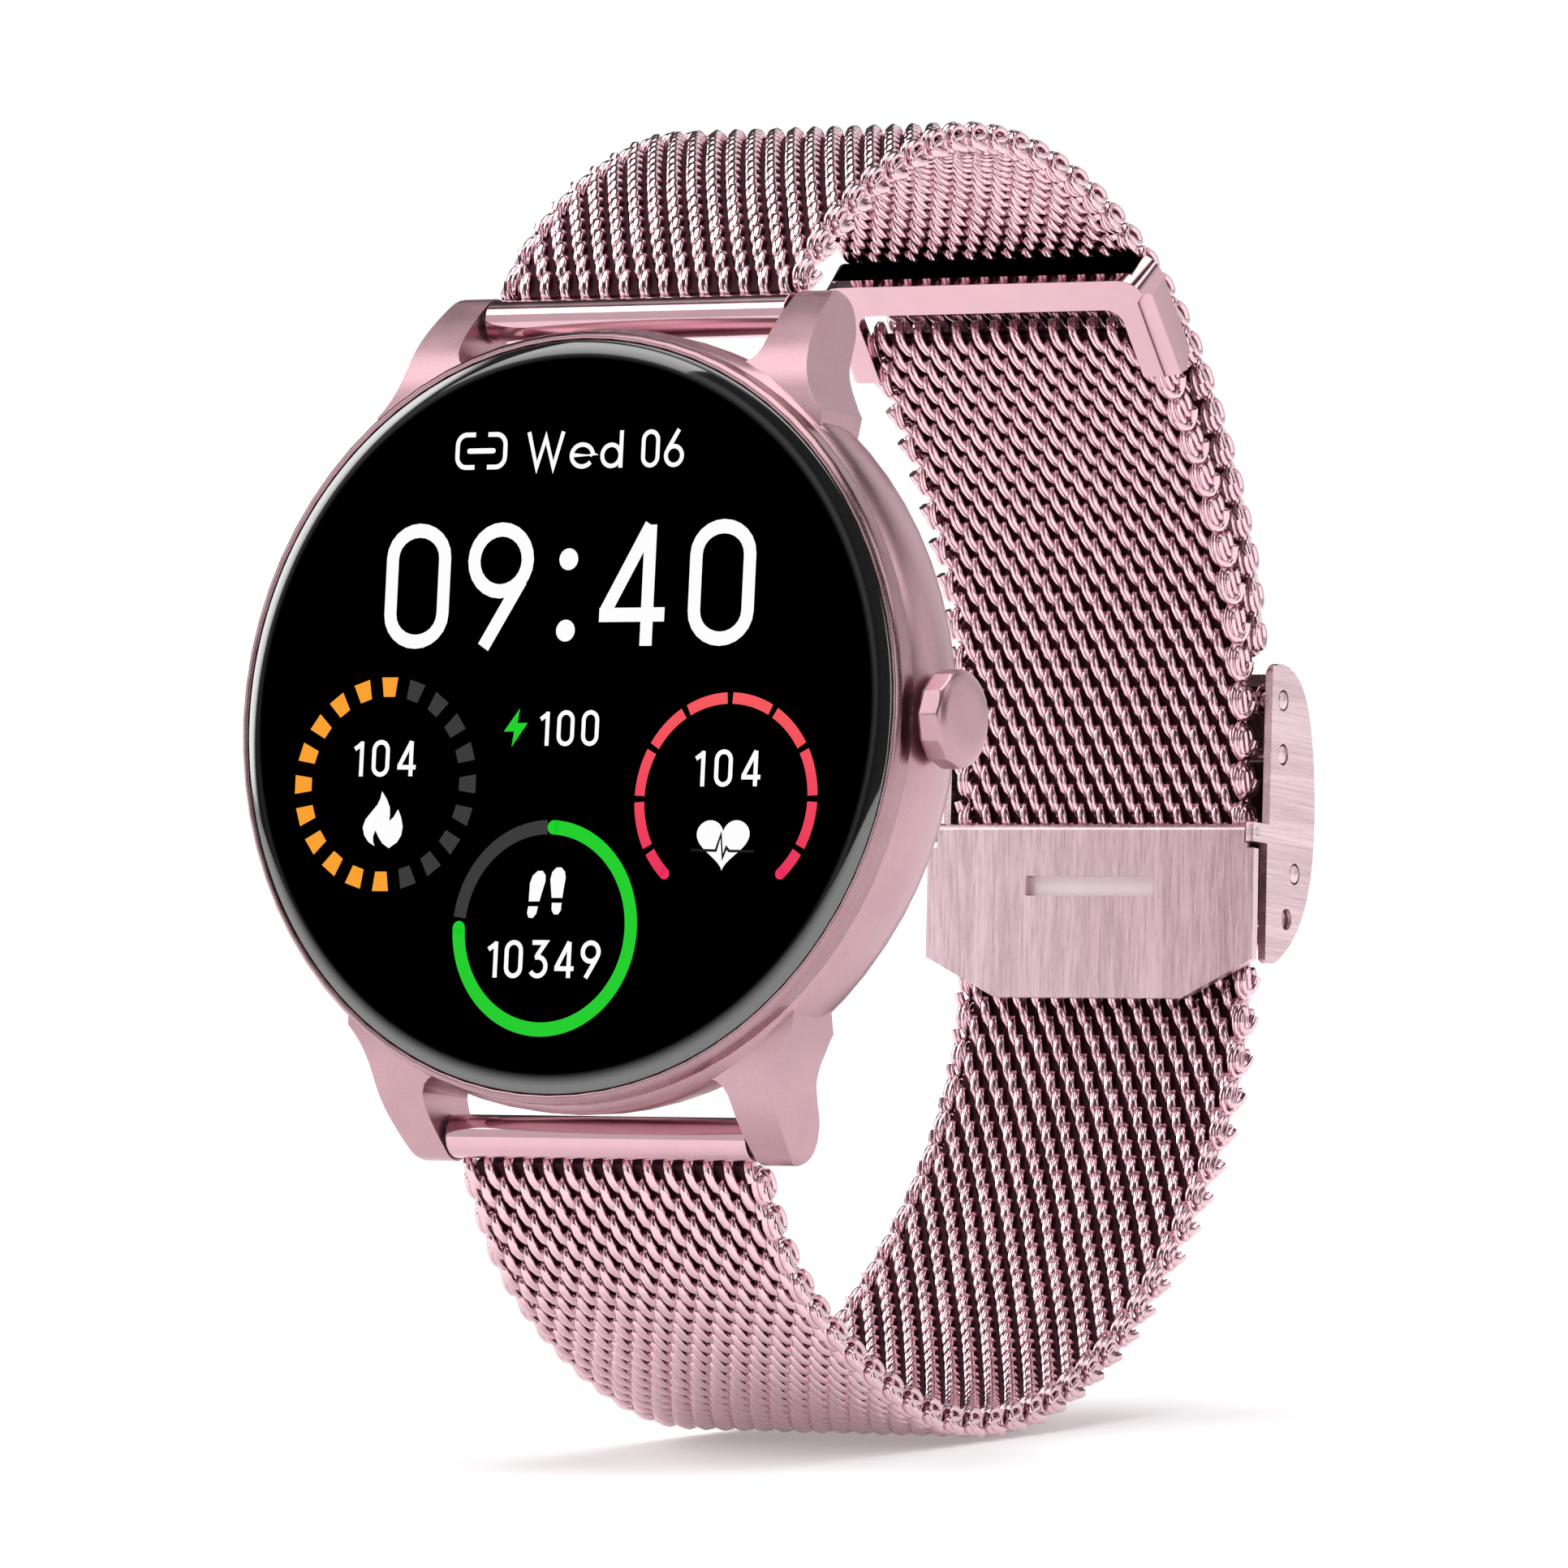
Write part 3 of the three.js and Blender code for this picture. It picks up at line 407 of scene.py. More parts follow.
# Each letter is its width and its strokes, as (closed, points), on a grid one unit high.
LETTERS = {
    "0": (0.55, [(True, oval(0.275, 0.725, 0.225, 0.225, 0, 180, 12)
                  + oval(0.275, 0.275, 0.225, 0.225, 180, 360, 12))]),
    "1": (0.30, [(False, [(0.23, 0.0), (0.23, 0.97)]), (False, [(0.0, 0.76), (0.26, 0.93)])]),
    "3": (0.58, [(False, [(0.08, 0.95), (0.50, 0.95), (0.24, 0.60)]),
                 (False, oval(0.27, 0.305, 0.25, 0.255, 112, -148, 20))]),
    "4": (0.60, [(False, [(0.44, 0.97), (0.05, 0.27)]), (False, [(0.0, 0.25), (0.60, 0.25)]),
                 (False, [(0.44, 0.0), (0.44, 0.97)])]),
    "6": (0.60, [(True, oval(0.29, 0.30, 0.25, 0.25)[:-1]), (False, [(0.09, 0.46), (0.42, 1.0)])]),
    "9": (0.60, [(True, oval(0.29, 0.70, 0.25, 0.25)[:-1]), (False, [(0.49, 0.54), (0.16, 0.0)])]),
    "W": (1.18, [(False, [(0.05, 1.0), (0.33, 0.04), (0.59, 0.85), (0.85, 0.04), (1.13, 1.0)])]),
    "e": (0.80, [(False, [(0.06, 0.36), (0.74, 0.36)] + oval(0.40, 0.345, 0.335, 0.295, 3, 322, 22))]),
    "d": (0.72, [(True, oval(0.34, 0.335, 0.285, 0.285)[:-1]), (False, [(0.64, 0.0), (0.64, 1.0)])]),
    " ": (0.22, []),
}


def write(marks, text, x0, x1, z0, height, width):
    """Writes text between x0 and x1 on the line z0."""
    widths = [LETTERS[letter][0] for letter in text]
    gap = ((x1 - x0) / height - sum(widths)) / max(1, len(text) - 1)
    at = x0
    for letter, wide in zip(text, widths):
        for loop, points in LETTERS[letter][1]:
            marks.stroke([(at + px * height, z0 + pz * height) for px, pz in points], width, closed=loop)
        at += (wide + gap) * height


white = Marks()
write(white, "Wed 06", -3.15, 7.3, 14.0, 2.12, 0.25)

TIME_BASE, TIME_HEIGHT, TIME_WIDTH, TIME_STROKE = 3.75, 7.35, 4.3, 0.80
for letter, left in (("0", -12.2), ("9", -6.6), ("4", 2.2), ("0", 8.05)):
    scale_x = TIME_WIDTH / (LETTERS[letter][0] * TIME_HEIGHT)
    for loop, points in LETTERS[letter][1]:
        drawn = [(left + px * TIME_HEIGHT * scale_x, TIME_BASE + TIME_HEIGHT * (0.02 + 0.96 * pz))
                 for px, pz in points]
        white.stroke(drawn, TIME_STROKE, closed=loop)
for height in (8.85, 4.80):
    white.disc(0.0, height, 0.62)

write(white, "100", -1.35, 2.5, -1.72, 1.98, 0.25)
write(white, "104", -13.75, -9.6, -3.42, 2.05, 0.26)
write(white, "104", 9.05, 13.3, -4.05, 2.05, 0.26)
write(white, "10349", -4.1, 3.35, -14.85, 2.1, 0.27)

# the link sign beside the date
LINK_X, LINK_Z = -6.2, 15.1
LINK_END = [(0.42, 0.93), *oval(1.0, 0.33, 0.6, 0.6, 90, 0, 8), *oval(1.0, -0.33, 0.6, 0.6, 0, -90, 8),
            (0.42, -0.93)]
for side in (-1, 1):
    white.stroke([(LINK_X + side * x, LINK_Z + z) for x, z in LINK_END], 0.27)
white.stroke([(-7.0, LINK_Z), (-5.4, LINK_Z)], 0.30, round_ends=True)

# the flame
FLAME_X, FLAME_Z = -11.63, -5.9
FLAME = [(-0.15, 1.62), (0.18, 1.2), (0.42, 0.72), (0.46, 0.30), (0.42, -0.08), (0.72, 0.16), (0.90, 0.46),
         (1.0, 0.58), (1.22, 0.12), (1.35, -0.38), (1.28, -0.88), (1.02, -1.28), (0.48, -1.62),
         (0.05, -1.36), (-0.24, -1.0), (-0.48, -0.60), (-0.62, -0.95), (-0.60, -1.25), (-0.48, -1.50),
         (-0.92, -1.26), (-1.22, -0.88), (-1.34, -0.42), (-1.18, 0.02), (-0.82, 0.42), (-0.42, 0.86),
         (-0.24, 1.2)]
white.plate([(FLAME_X + x, FLAME_Z + z) for x, z in FLAME])

# the heart
HEART_X, HEART_Z, HEART_POINTS = 11.05, -7.12, 60
heart = []
for step in range(HEART_POINTS):
    t = 2 * math.pi * step / HEART_POINTS
    rise = 13 * math.cos(t) - 5 * math.cos(2 * t) - 2 * math.cos(3 * t) - math.cos(4 * t)
    heart.append((HEART_X + 0.108 * 16 * math.sin(t) ** 3, HEART_Z + 0.098 * rise))
white.plate(heart)

# the two soles
SOLE = [(0.50, 0.55), (0.44, 0.90), (0.2, 1.14), (-0.12, 1.14), (-0.4, 0.88), (-0.50, 0.45), (-0.44, 0.0),
        (-0.36, -0.58), (0.34, -0.58), (0.40, -0.1)]
HEEL = [(-0.33, -0.86), (-0.33, -1.25), (-0.18, -1.50), (0.10, -1.52), (0.28, -1.28), (0.31, -0.86)]
for x0, z0, lean in ((-1.12, -9.95, -0.16), (0.30, -9.75, 0.0)):
    for shape in (SOLE, HEEL):
        white.plate([(x0 + x - lean * z, z0 + z) for x, z in shape])
white.done("dial_white_marks", lit_finish("lit_white", WHITE, WHITE))

BOLT_X, BOLT_Z = -3.0, -0.68
GOAL_RING, GOAL_WIDTH = (-0.45, -12.05, 5.72), 0.80      # a ring is its centre and its radius
green = Marks()
green.plate([(BOLT_X + x, BOLT_Z + z) for x, z in
             [(0.22, 1.08), (-0.78, -0.22), (-0.1, -0.22), (-0.22, -1.08), (0.78, 0.26), (0.10, 0.26)]])
green.arc(*GOAL_RING, 3, 270, GOAL_WIDTH, round_ends=True)
green.done("dial_green_marks", lit_finish("lit_green", GREEN, rgb(0.0, 0.68, 0.012)))

grey = Marks()
grey.arc(*GOAL_RING, 276, 359, GOAL_WIDTH)
orange = Marks()
GAUGE_X, GAUGE_Z, GAUGE_OUTER, GAUGE_INNER = -11.6, -3.87, 6.12, 5.0
GAUGE_BARS, LAST_LIT_BAR = 20, 10
for bar in range(GAUGE_BARS):
    middle = -2 * math.pi * bar / GAUGE_BARS
    corners = []
    for radius, half in ((GAUGE_OUTER, 0.088), (GAUGE_INNER, 0.076)):
        turns = (middle - half, middle + half) if radius == GAUGE_OUTER else (middle + half, middle - half)
        corners += [(GAUGE_X + radius * math.sin(t), GAUGE_Z + radius * math.cos(t)) for t in turns]
    (orange if bar <= LAST_LIT_BAR else grey).plate(corners)
grey.done("dial_grey_marks", lit_finish("lit_grey", rgb(0.035, 0.035, 0.035), rgb(0.035, 0.035, 0.035)))
orange.done("dial_orange_marks", lit_finish("lit_orange", rgb(0.98, 0.36, 0.022), rgb(0.98, 0.36, 0.022)))

red = Marks()
RED_X, RED_Z, RED_RADIUS, RED_WIDTH = 11.1, -4.75, 5.66, 0.64
RED_END, BREAK_HALF = 138, 1.8
for start in (0, 30, 60, 90, 120):
    end = start + 30 - BREAK_HALF if start < 120 else RED_END
    for side in (-1, 1):
        red.arc(RED_X, RED_Z, RED_RADIUS, side * (start + BREAK_HALF), side * end, RED_WIDTH)
for side in (-1, 1):
    tip = math.radians(side * RED_END)
    red.disc(RED_X + RED_RADIUS * math.sin(tip), RED_Z + RED_RADIUS * math.cos(tip), RED_WIDTH / 2)
red.done("dial_red_marks",
         lit_finish("lit_red", rgb(0.83, 0.022, 0.105), rgb(0.96, 0.095, 0.105), -0.0093, 0.0012))

pulse = Marks(layer=1)
pulse.stroke([(9.0, -7.62), (10.62, -7.66), (10.92, -6.75), (11.08, -8.05), (11.3, -7.48), (11.5, -7.68),
              (13.1, -7.70)], 0.15)
pulse.done("dial_pulse_line",
           lit_finish("unlit_black", rgb(0.0005, 0.0005, 0.0005), rgb(0.0005, 0.0005, 0.0005)))

# ---- crown --------------------------------------------------------------------------------------
# A push-and-turn knob with twelve flats and a domed face, on a steel stem in a steel sleeve.
refined("crown_knob", "crown_cap", satin, "crown", "satin_metal", 0.12, angle=18, smooth_angle=14)

STEEL_COLOUR = (rgb(0.50, 0.51, 0.53), rgb(0.64, 0.65, 0.67))


def turned_steel(name, colours, scale, roughness):
    finish = Finish(name)
    lines = finish.noise(finish.stretched(scale), 1.0, 3.0)
    return finish.surface(Base_Color=finish.mix(lines, *colours), Metallic=1.0,
                          Roughness=finish.spread(lines, 0.3, 0.7, roughness - 0.06, roughness + 0.08),
                          Normal=finish.bump(lines, 0.15, 0.00003))


steel = turned_steel("turned_steel", STEEL_COLOUR, (9000, 600, 600), 0.28)
coated(steel, "crown_sleeve", "crown_clip", "crown_stem", "chassis_plate", "vibration_motor",
       "lock_plate_pin", "upper_bar_tube", "lower_bar_tube", "upper_bar_tip_left", "upper_bar_tip_right",
       "lower_bar_tip_left", "lower_bar_tip_right")

# ---- inside the case ----------------------------------------------------------------------------
# Display panel, circuit boards, battery pouch, speaker and microphone, all hidden when closed.


def moulded_finish(name, low, high, grain, roughness):
    finish = Finish(name)
    texture = finish.noise(finish.place(), grain, 3.0)
    return finish.surface(Base_Color=finish.mix(texture, low, high),
                          Roughness=finish.spread(texture, 0.3, 0.7, roughness - 0.08, roughness + 0.1),
                          Normal=finish.bump(texture, 0.2, 0.00005))


def board_finish():
    finish = Finish("circuit_board")
    tracks = finish.out("ShaderNodeTexBrick", "Fac", Scale=1.0,
                        Vector=finish.stretched((700, 700, 700), (math.pi / 2, 0, 0)))
    return finish.surface(Base_Color=finish.mix(tracks, rgb(0.02, 0.16, 0.07), rgb(0.42, 0.28, 0.08)),
                          Roughness=finish.spread(tracks, 0, 1, 0.38, 0.25))


coated(moulded_finish("panel_black", rgb(0.003, 0.003, 0.004), rgb(0.008, 0.008, 0.01), 3000, 0.3),
       "display_panel")
coated(board_finish(), "main_board", "heart_rate_board")
coated(satin_finish("pouch_foil", (rgb(0.5, 0.51, 0.53), rgb(0.62, 0.63, 0.65)), 0.42),
       "battery", "microphone_unit")
coated(moulded_finish("black_nylon", rgb(0.012, 0.012, 0.013), rgb(0.03, 0.03, 0.032), 6000, 0.5),
       "speaker_unit", "crown_switch")
coated(moulded_finish("seal_rubber", rgb(0.01, 0.01, 0.01), rgb(0.022, 0.022, 0.022), 4000, 0.7),
       "rear_gasket")

# ---- rear cover, sensor window, charging pins, screws -------------------------------------------
# Spun metal cover held by four cross-slotted screws; a dark glass window stands out of its middle
# over two green lamps and their light cells, and two gilt pins take the charger.
refined("back_cover", "rear_cover", satin, "case", "satin_metal", 0.06, steps=2)
for number in range(1, 5):
    refined(f"back_screw_{number}", f"rear_screw_{number}", steel, "case", "steel", 0.04, steps=2)
gilt = turned_steel("gilt_contact", (rgb(0.80, 0.55, 0.22), rgb(0.92, 0.68, 0.32)), (3000, 3000, 3000), 0.22)
for side in ("left", "right"):
    refined(f"charger_pin_{side}", f"charging_pin_{side}", gilt, "case", "gold", 0.05, steps=2)

LAMP_OUT, LAMP_RADIUS = 1.6, 0.9
CELL_OUT_X, CELL_OUT_Z, CELL_RADIUS = 4.9, 4.6, 1.1
RING_OUTER, RING_INNER = 6.9, 6.75
window = Finish("sensor_window_glass")
window_place = window.stretched((1, 0, 1))


def spot(x, z, radius):
    away = window.out("ShaderNodeVectorMath", "Value", {"operation": "DISTANCE"},
                      i0=window_place, i1=(x / 1000, 0, z / 1000))
    return window.spread(away, radius * 0.9e-3, radius * 1.0e-3, 1.0, 0.0)


lamps = spot(-LAMP_OUT, 0, LAMP_RADIUS) + spot(LAMP_OUT, 0, LAMP_RADIUS)
cells = (spot(0, CELL_OUT_Z, CELL_RADIUS) + spot(0, -CELL_OUT_Z, CELL_RADIUS)
         + spot(CELL_OUT_X, 0, CELL_RADIUS) + spot(-CELL_OUT_X, 0, CELL_RADIUS))
ring_line = spot(0, 0, RING_OUTER) - spot(0, 0, RING_INNER)
window_back = window.mix(ring_line, rgb(0.004, 0.004, 0.005), rgb(0.05, 0.05, 0.05))
window_cells = window.mix(cells, window_back, rgb(0.035, 0.02, 0.045))
window_colour = window.mix(lamps, window_cells, rgb(0.05, 0.16, 0.06))
window_dust = window.noise(window.place(), 400, 2.0)
sensor_glass = window.surface(
    Base_Color=window_colour, Roughness=window.spread(window_dust, 0.3, 0.7, 0.05, 0.1),
    Coat_Weight=1.0, Coat_Roughness=0.03)
refined("back_window", "sensor_window", sensor_glass, "case", "sensor_glass", 0.08)

# ---- bracelet ends: polished tubes round the spring bars ----------------------------------------
# Drawn steel tube, mirror polished, welded to the first row of the mesh.
HAZE_PER_METRE = 500
POLISHED_COLOUR = (rgb(0.62, 0.38, 0.43), rgb(0.70, 0.45, 0.50))


def polished_finish(name, colours, roughness):
    """Mirror polished metal with a faint haze and fine scratches round the tube."""
    finish = Finish(name)
    haze = finish.noise(finish.place(), HAZE_PER_METRE, 4.0, 0.6)
    scratch = finish.noise(finish.stretched((900, 9000, 9000)), 1.0, 2.0)
    return finish.surface(Base_Color=finish.mix(haze, *colours), Metallic=1.0,
                          Roughness=finish.spread(haze, 0.3, 0.7, roughness, roughness + 0.06),
                          Normal=finish.bump(scratch, 0.05, 0.00001))


polished = polished_finish("mirror_polish", POLISHED_COLOUR, 0.07)
for half in ("upper", "lower"):
    refined(f"{half}_tube", f"{half}_end_tube", polished, f"{half}_strap", "polished_metal", 0.06, steps=2)

# ---- woven mesh ---------------------------------------------------------------------------------
# Each half is rows of flattened wire coils screwed into each other. Neighbouring rows sit half a
# turn apart, and at both edges the wires of two rows are curled into an S and welded.
FRONT_TO_WRIST = 11.35            # rim of the glass to the wrist face
UPPER_LINE = [
    (7.35, 24.75), (9.2, 27.4), (12.4, 30.25), (15.7, 32.5), (22.4, 35.5), (27.5, 36.4), (33.0, 36.3),
    (40.6, 34.6), (48.5, 30.75), (52.75, 27.35), (56.55, 22.75), (59.95, 17.4), (61.65, 13.6), (62.95, 8.4)]
LOWER_LINE = [
    (7.45, -24.7), (10.9, -29.5), (14.6, -32.5), (21.8, -36.0), (29.0, -37.8), (35.9, -37.6), (43.1, -35.6),
    (50.3, -31.4), (57.3, -24.3), (60.75, -19.1), (62.4, -15.0), (62.95, -11.2), (62.75, -7.0), (62.2, -1.2),
    (61.45, 3.8), (60.6, 8.5), (58.7, 14.2), (55.6, 19.2), (53.05, 22.3), (50.4, 25.2), (47.3, 28.6)]
ROW_STEP = 1.18
MESH_WIDTH = 20.0
COIL_PITCH = 1.3333
COIL_TURNS = 14.5
COIL_HALF_LENGTH = 0.93
COIL_HALF_DEPTH = 0.62
WIRE_RADIUS = 0.32
CURL_RADIUS = 0.32
CURL_STRETCH = 2.2
CURL_WIRE = 0.22
HOOP_INSET = 0.35
HOOP_LENGTH, HOOP_DEPTH = 1.05, 0.72
# The core is a dark sheet of painted shade inside the mesh.
CORE_THICK = 0.5
CORE_STEP = 6                     # points of the fine line to one ring of the core
CORE_EDGE = 0.9                   # the core stops this far inside the mesh's edge


def through(points):
    """Points along a smooth line through the given ones, about a tenth of a millimetre apart."""
    padded = [2 * points[0] - points[1], *points, 2 * points[-1] - points[-2]]
    line = []
    for p0, p1, p2, p3 in zip(padded, padded[1:], padded[2:], padded[3:]):
        t1 = (p1 - p0).length ** 0.5
        t2 = t1 + (p2 - p1).length ** 0.5
        t3 = t2 + (p3 - p2).length ** 0.5
        steps = max(2, int((p2 - p1).length / 0.1))
        for step in range(steps):
            t = t1 + (t2 - t1) * step / steps
            a1 = p0 * ((t1 - t) / t1) + p1 * (t / t1)
            a2 = p1 * ((t2 - t) / (t2 - t1)) + p2 * ((t - t1) / (t2 - t1))
            a3 = p2 * ((t3 - t) / (t3 - t2)) + p3 * ((t - t2) / (t3 - t2))
            b1 = a1 * ((t2 - t) / t2) + a2 * (t / t2)
            b2 = a2 * ((t3 - t) / (t3 - t1)) + a3 * ((t - t1) / (t3 - t1))
            line.append(b1 * ((t2 - t) / (t2 - t1)) + b2 * ((t - t1) / (t2 - t1)))
    line.append(points[-1])
    return line


def tree_of(name, inputs):
    """An empty geometry tree with named inputs, and a short way to add its nodes."""
    tree = bpy.data.node_groups.new(name, "GeometryNodeTree")
    tree.interface.new_socket("Geometry", in_out="INPUT", socket_type="NodeSocketGeometry")
    tree.interface.new_socket("Geometry", in_out="OUTPUT", socket_type="NodeSocketGeometry")
    for label, (kind, value) in inputs.items():
        socket = tree.interface.new_socket(label, in_out="INPUT", socket_type=kind)
        socket.default_value = value
    start = tree.nodes.new("NodeGroupInput")

    def add(kind, settings=None, **values):
        node = tree.nodes.new(kind)
        for key, value in (settings or {}).items():
            setattr(node, key, value)
        for key, value in values.items():
            socket = node.inputs[int(key[1:])] if key[1:].isdigit() else node.inputs[key.replace("_", " ")]
            if isinstance(value, bpy.types.NodeSocket):
                tree.links.new(value, socket)
            else:
                socket.default_value = value
        return node

    return tree, start.outputs, add


def weave_tree(material):
    length = "NodeSocketFloat"
    tree, given, add = tree_of("woven_rows", {
        "Rows": ("NodeSocketInt", 10), "Pitch": (length, 0.001), "Turns": (length, 10.0),
        "Half Length": (length, 0.001), "Half Depth": (length, 0.001), "Wire Radius": (length, 0.0002),
        "Wire Sides": ("NodeSocketInt", 6), "Steps per Turn": ("NodeSocketInt", 12)})
    rows = add("GeometryNodeCurveToPoints", {"mode": "COUNT"}, Curve=given["Geometry"], Count=given["Rows"])
    turn = add("FunctionNodeAxesToRotation", {"primary_axis": "Z", "secondary_axis": "Y"},
               Primary_Axis=(1, 0, 0), Secondary_Axis=rows.outputs["Tangent"])
    height = add("ShaderNodeMath", {"operation": "MULTIPLY"}, i0=given["Pitch"], i1=given["Turns"])
    coil = add("GeometryNodeCurveSpiral", Resolution=given["Steps per Turn"], Rotations=given["Turns"],
               Start_Radius=1.0, End_Radius=1.0, Height=height.outputs[0])
    flat = add("ShaderNodeCombineXYZ", X=given["Half Depth"], Y=given["Half Length"], Z=-1.0)
    back = add("ShaderNodeMath", {"operation": "MULTIPLY"}, i0=height.outputs[0], i1=0.5)
    centre = add("ShaderNodeCombineXYZ", Z=back.outputs[0])
    shaped = add("GeometryNodeTransform", Geometry=coil.outputs[0], Scale=flat.outputs[0],
                 Translation=centre.outputs[0])
    section = add("GeometryNodeCurvePrimitiveCircle", {"mode": "RADIUS"}, Resolution=given["Wire Sides"],
                  Radius=given["Wire Radius"])
    wire = add("GeometryNodeCurveToMesh", Curve=shaped.outputs[0], Profile_Curve=section.outputs[0],
               Fill_Caps=True)
    laid = add("GeometryNodeInstanceOnPoints", Points=rows.outputs[0], Instance=wire.outputs[0],
               Rotation=turn.outputs[0])
    row_number = add("GeometryNodeInputIndex")
    odd = add("ShaderNodeMath", {"operation": "FLOORED_MODULO"}, i0=row_number.outputs[0], i1=2.0)
    centred = add("ShaderNodeMath", {"operation": "SUBTRACT"}, i0=odd.outputs[0], i1=0.5)
    halfway = add("ShaderNodeMath", {"operation": "MULTIPLY"}, i0=centred.outputs[0], i1=given["Pitch"])
    shift = add("ShaderNodeMath", {"operation": "MULTIPLY"}, i0=halfway.outputs[0], i1=0.5)
    offset = add("ShaderNodeCombineXYZ", X=shift.outputs[0])
    moved = add("GeometryNodeTranslateInstances", Instances=laid.outputs[0], Translation=offset.outputs[0],
                Local_Space=False)
    real = add("GeometryNodeRealizeInstances", Geometry=moved.outputs[0])
    smooth = add("GeometryNodeSetShadeSmooth", Geometry=real.outputs[0])
    painted = add("GeometryNodeSetMaterial", Geometry=smooth.outputs[0], Material=material)
    tree.links.new(painted.outputs[0], add("NodeGroupOutput").inputs[0])
    return tree


def curl_tree(material):
    length = "NodeSocketFloat"
    tree, given, add = tree_of("edge_curls", {
        "Curls": ("NodeSocketInt", 10), "Half Width": (length, 0.01), "Curl Radius": (length, 0.0003),
        "Curl Stretch": (length, 2.0), "Ring Length": (length, 0.001), "Ring Depth": (length, 0.0007),
        "Hoop Inset": (length, 0.0003), "Wire Radius": (length, 0.0002),
        "Wire Sides": ("NodeSocketInt", 6)})
    places = add("GeometryNodeCurveToPoints", {"mode": "COUNT"}, Curve=given["Geometry"],
                 Count=given["Curls"])
    turn = add("FunctionNodeAxesToRotation", {"primary_axis": "Z", "secondary_axis": "Y"},
               Primary_Axis=(1, 0, 0), Secondary_Axis=places.outputs["Tangent"])
    hook = add("GeometryNodeCurveArc", {"mode": "RADIUS"}, Resolution=11, Radius=given["Curl Radius"],
               Start_Angle=0.0, Sweep_Angle=math.radians(255))
    inward = add("ShaderNodeMath", {"operation": "MULTIPLY"}, i0=given["Curl Radius"], i1=-1.0)
    hook_place = add("ShaderNodeCombineXYZ", X=inward.outputs[0])
    upper = add("GeometryNodeTransform", Geometry=hook.outputs[0], Translation=hook_place.outputs[0])
    lower = add("GeometryNodeTransform", Geometry=upper.outputs[0], Rotation=(0, 0, math.pi))
    letter = add("GeometryNodeJoinGeometry")
    tree.links.new(upper.outputs[0], letter.inputs[0])
    tree.links.new(lower.outputs[0], letter.inputs[0])
    stretch = add("ShaderNodeCombineXYZ", X=1.0, Y=given["Curl Stretch"], Z=1.0)
    drawn = add("GeometryNodeTransform", Geometry=letter.outputs[0], Scale=stretch.outputs[0])
    hoop = add("GeometryNodeCurvePrimitiveCircle", {"mode": "RADIUS"}, Resolution=16, Radius=1.0)
    hoop_size = add("ShaderNodeCombineXYZ", X=given["Ring Depth"], Y=given["Ring Length"], Z=1.0)
    hoop_flat = add("GeometryNodeTransform", Geometry=hoop.outputs[0], Scale=hoop_size.outputs[0])
    section = add("GeometryNodeCurvePrimitiveCircle", {"mode": "RADIUS"}, Resolution=given["Wire Sides"],
                  Radius=given["Wire Radius"])
    sides = add("GeometryNodeJoinGeometry")
    hoop_out = add("ShaderNodeMath", {"operation": "SUBTRACT"}, i0=given["Half Width"],
                   i1=given["Hoop Inset"])
    for bent, out_by in ((drawn, given["Half Width"]), (hoop_flat, hoop_out.outputs[0])):
        wire = add("GeometryNodeCurveToMesh", Curve=bent.outputs[0], Profile_Curve=section.outputs[0],
                   Fill_Caps=True)
        laid = add("GeometryNodeInstanceOnPoints", Points=places.outputs[0], Instance=wire.outputs[0],
                   Rotation=turn.outputs[0])
        for side in (-1.0, 1.0):
            out = add("ShaderNodeMath", {"operation": "MULTIPLY"}, i0=out_by, i1=side)
            offset = add("ShaderNodeCombineXYZ", X=out.outputs[0])
            edge = add("GeometryNodeTranslateInstances", Instances=laid.outputs[0],
                       Translation=offset.outputs[0], Local_Space=False)
            tree.links.new(edge.outputs[0], sides.inputs[0])
    real = add("GeometryNodeRealizeInstances", Geometry=sides.outputs[0])
    smooth = add("GeometryNodeSetShadeSmooth", Geometry=real.outputs[0])
    painted = add("GeometryNodeSetMaterial", Geometry=smooth.outputs[0], Material=material)
    tree.links.new(painted.outputs[0], add("NodeGroupOutput").inputs[0])
    return tree


def grown(tree, line, sizes):
    """The plain mesh that a geometry tree makes along a line of (y, z) points in millimetres."""
    curve = bpy.data.curves.new("middle_line", "CURVE")
    curve.dimensions = "3D"
    spline = curve.splines.new("POLY")
    spline.points.add(len(line) - 1)
    for point, place in zip(spline.points, line):
        point.co = (0, (place.x - FRONT_TO_WRIST) / 1000, place.y / 1000, 1)
    holder = bpy.data.objects.new("weaving", curve)
    scene.collection.objects.link(holder)
    modifier = holder.modifiers.new("weave", "NODES")
    modifier.node_group = tree
    for item in tree.interface.items_tree:
        if item.in_out == "INPUT" and item.name in sizes:
            modifier[item.identifier] = sizes[item.name]
    made = bpy.data.meshes.new_from_object(holder.evaluated_get(bpy.context.evaluated_depsgraph_get()))
    holder.modifiers.remove(modifier)
    bpy.data.objects.remove(holder)
    return made


wire_finish = Finish("polished_wire")
wire_haze = wire_finish.noise(wire_finish.place(), 900, 3.0)
wire_nicks = wire_finish.noise(wire_finish.place(), 9000, 2.0)
wire_metal = wire_finish.surface(
    Base_Color=wire_finish.mix(wire_haze, rgb(0.72, 0.48, 0.53), rgb(0.86, 0.61, 0.66)), Metallic=1.0,
    Roughness=wire_finish.spread(wire_haze * 0.6 + wire_nicks * 0.4, 0.3, 0.7, 0.09, 0.16),
    Normal=wire_finish.bump(wire_nicks, 0.12, 0.00002))
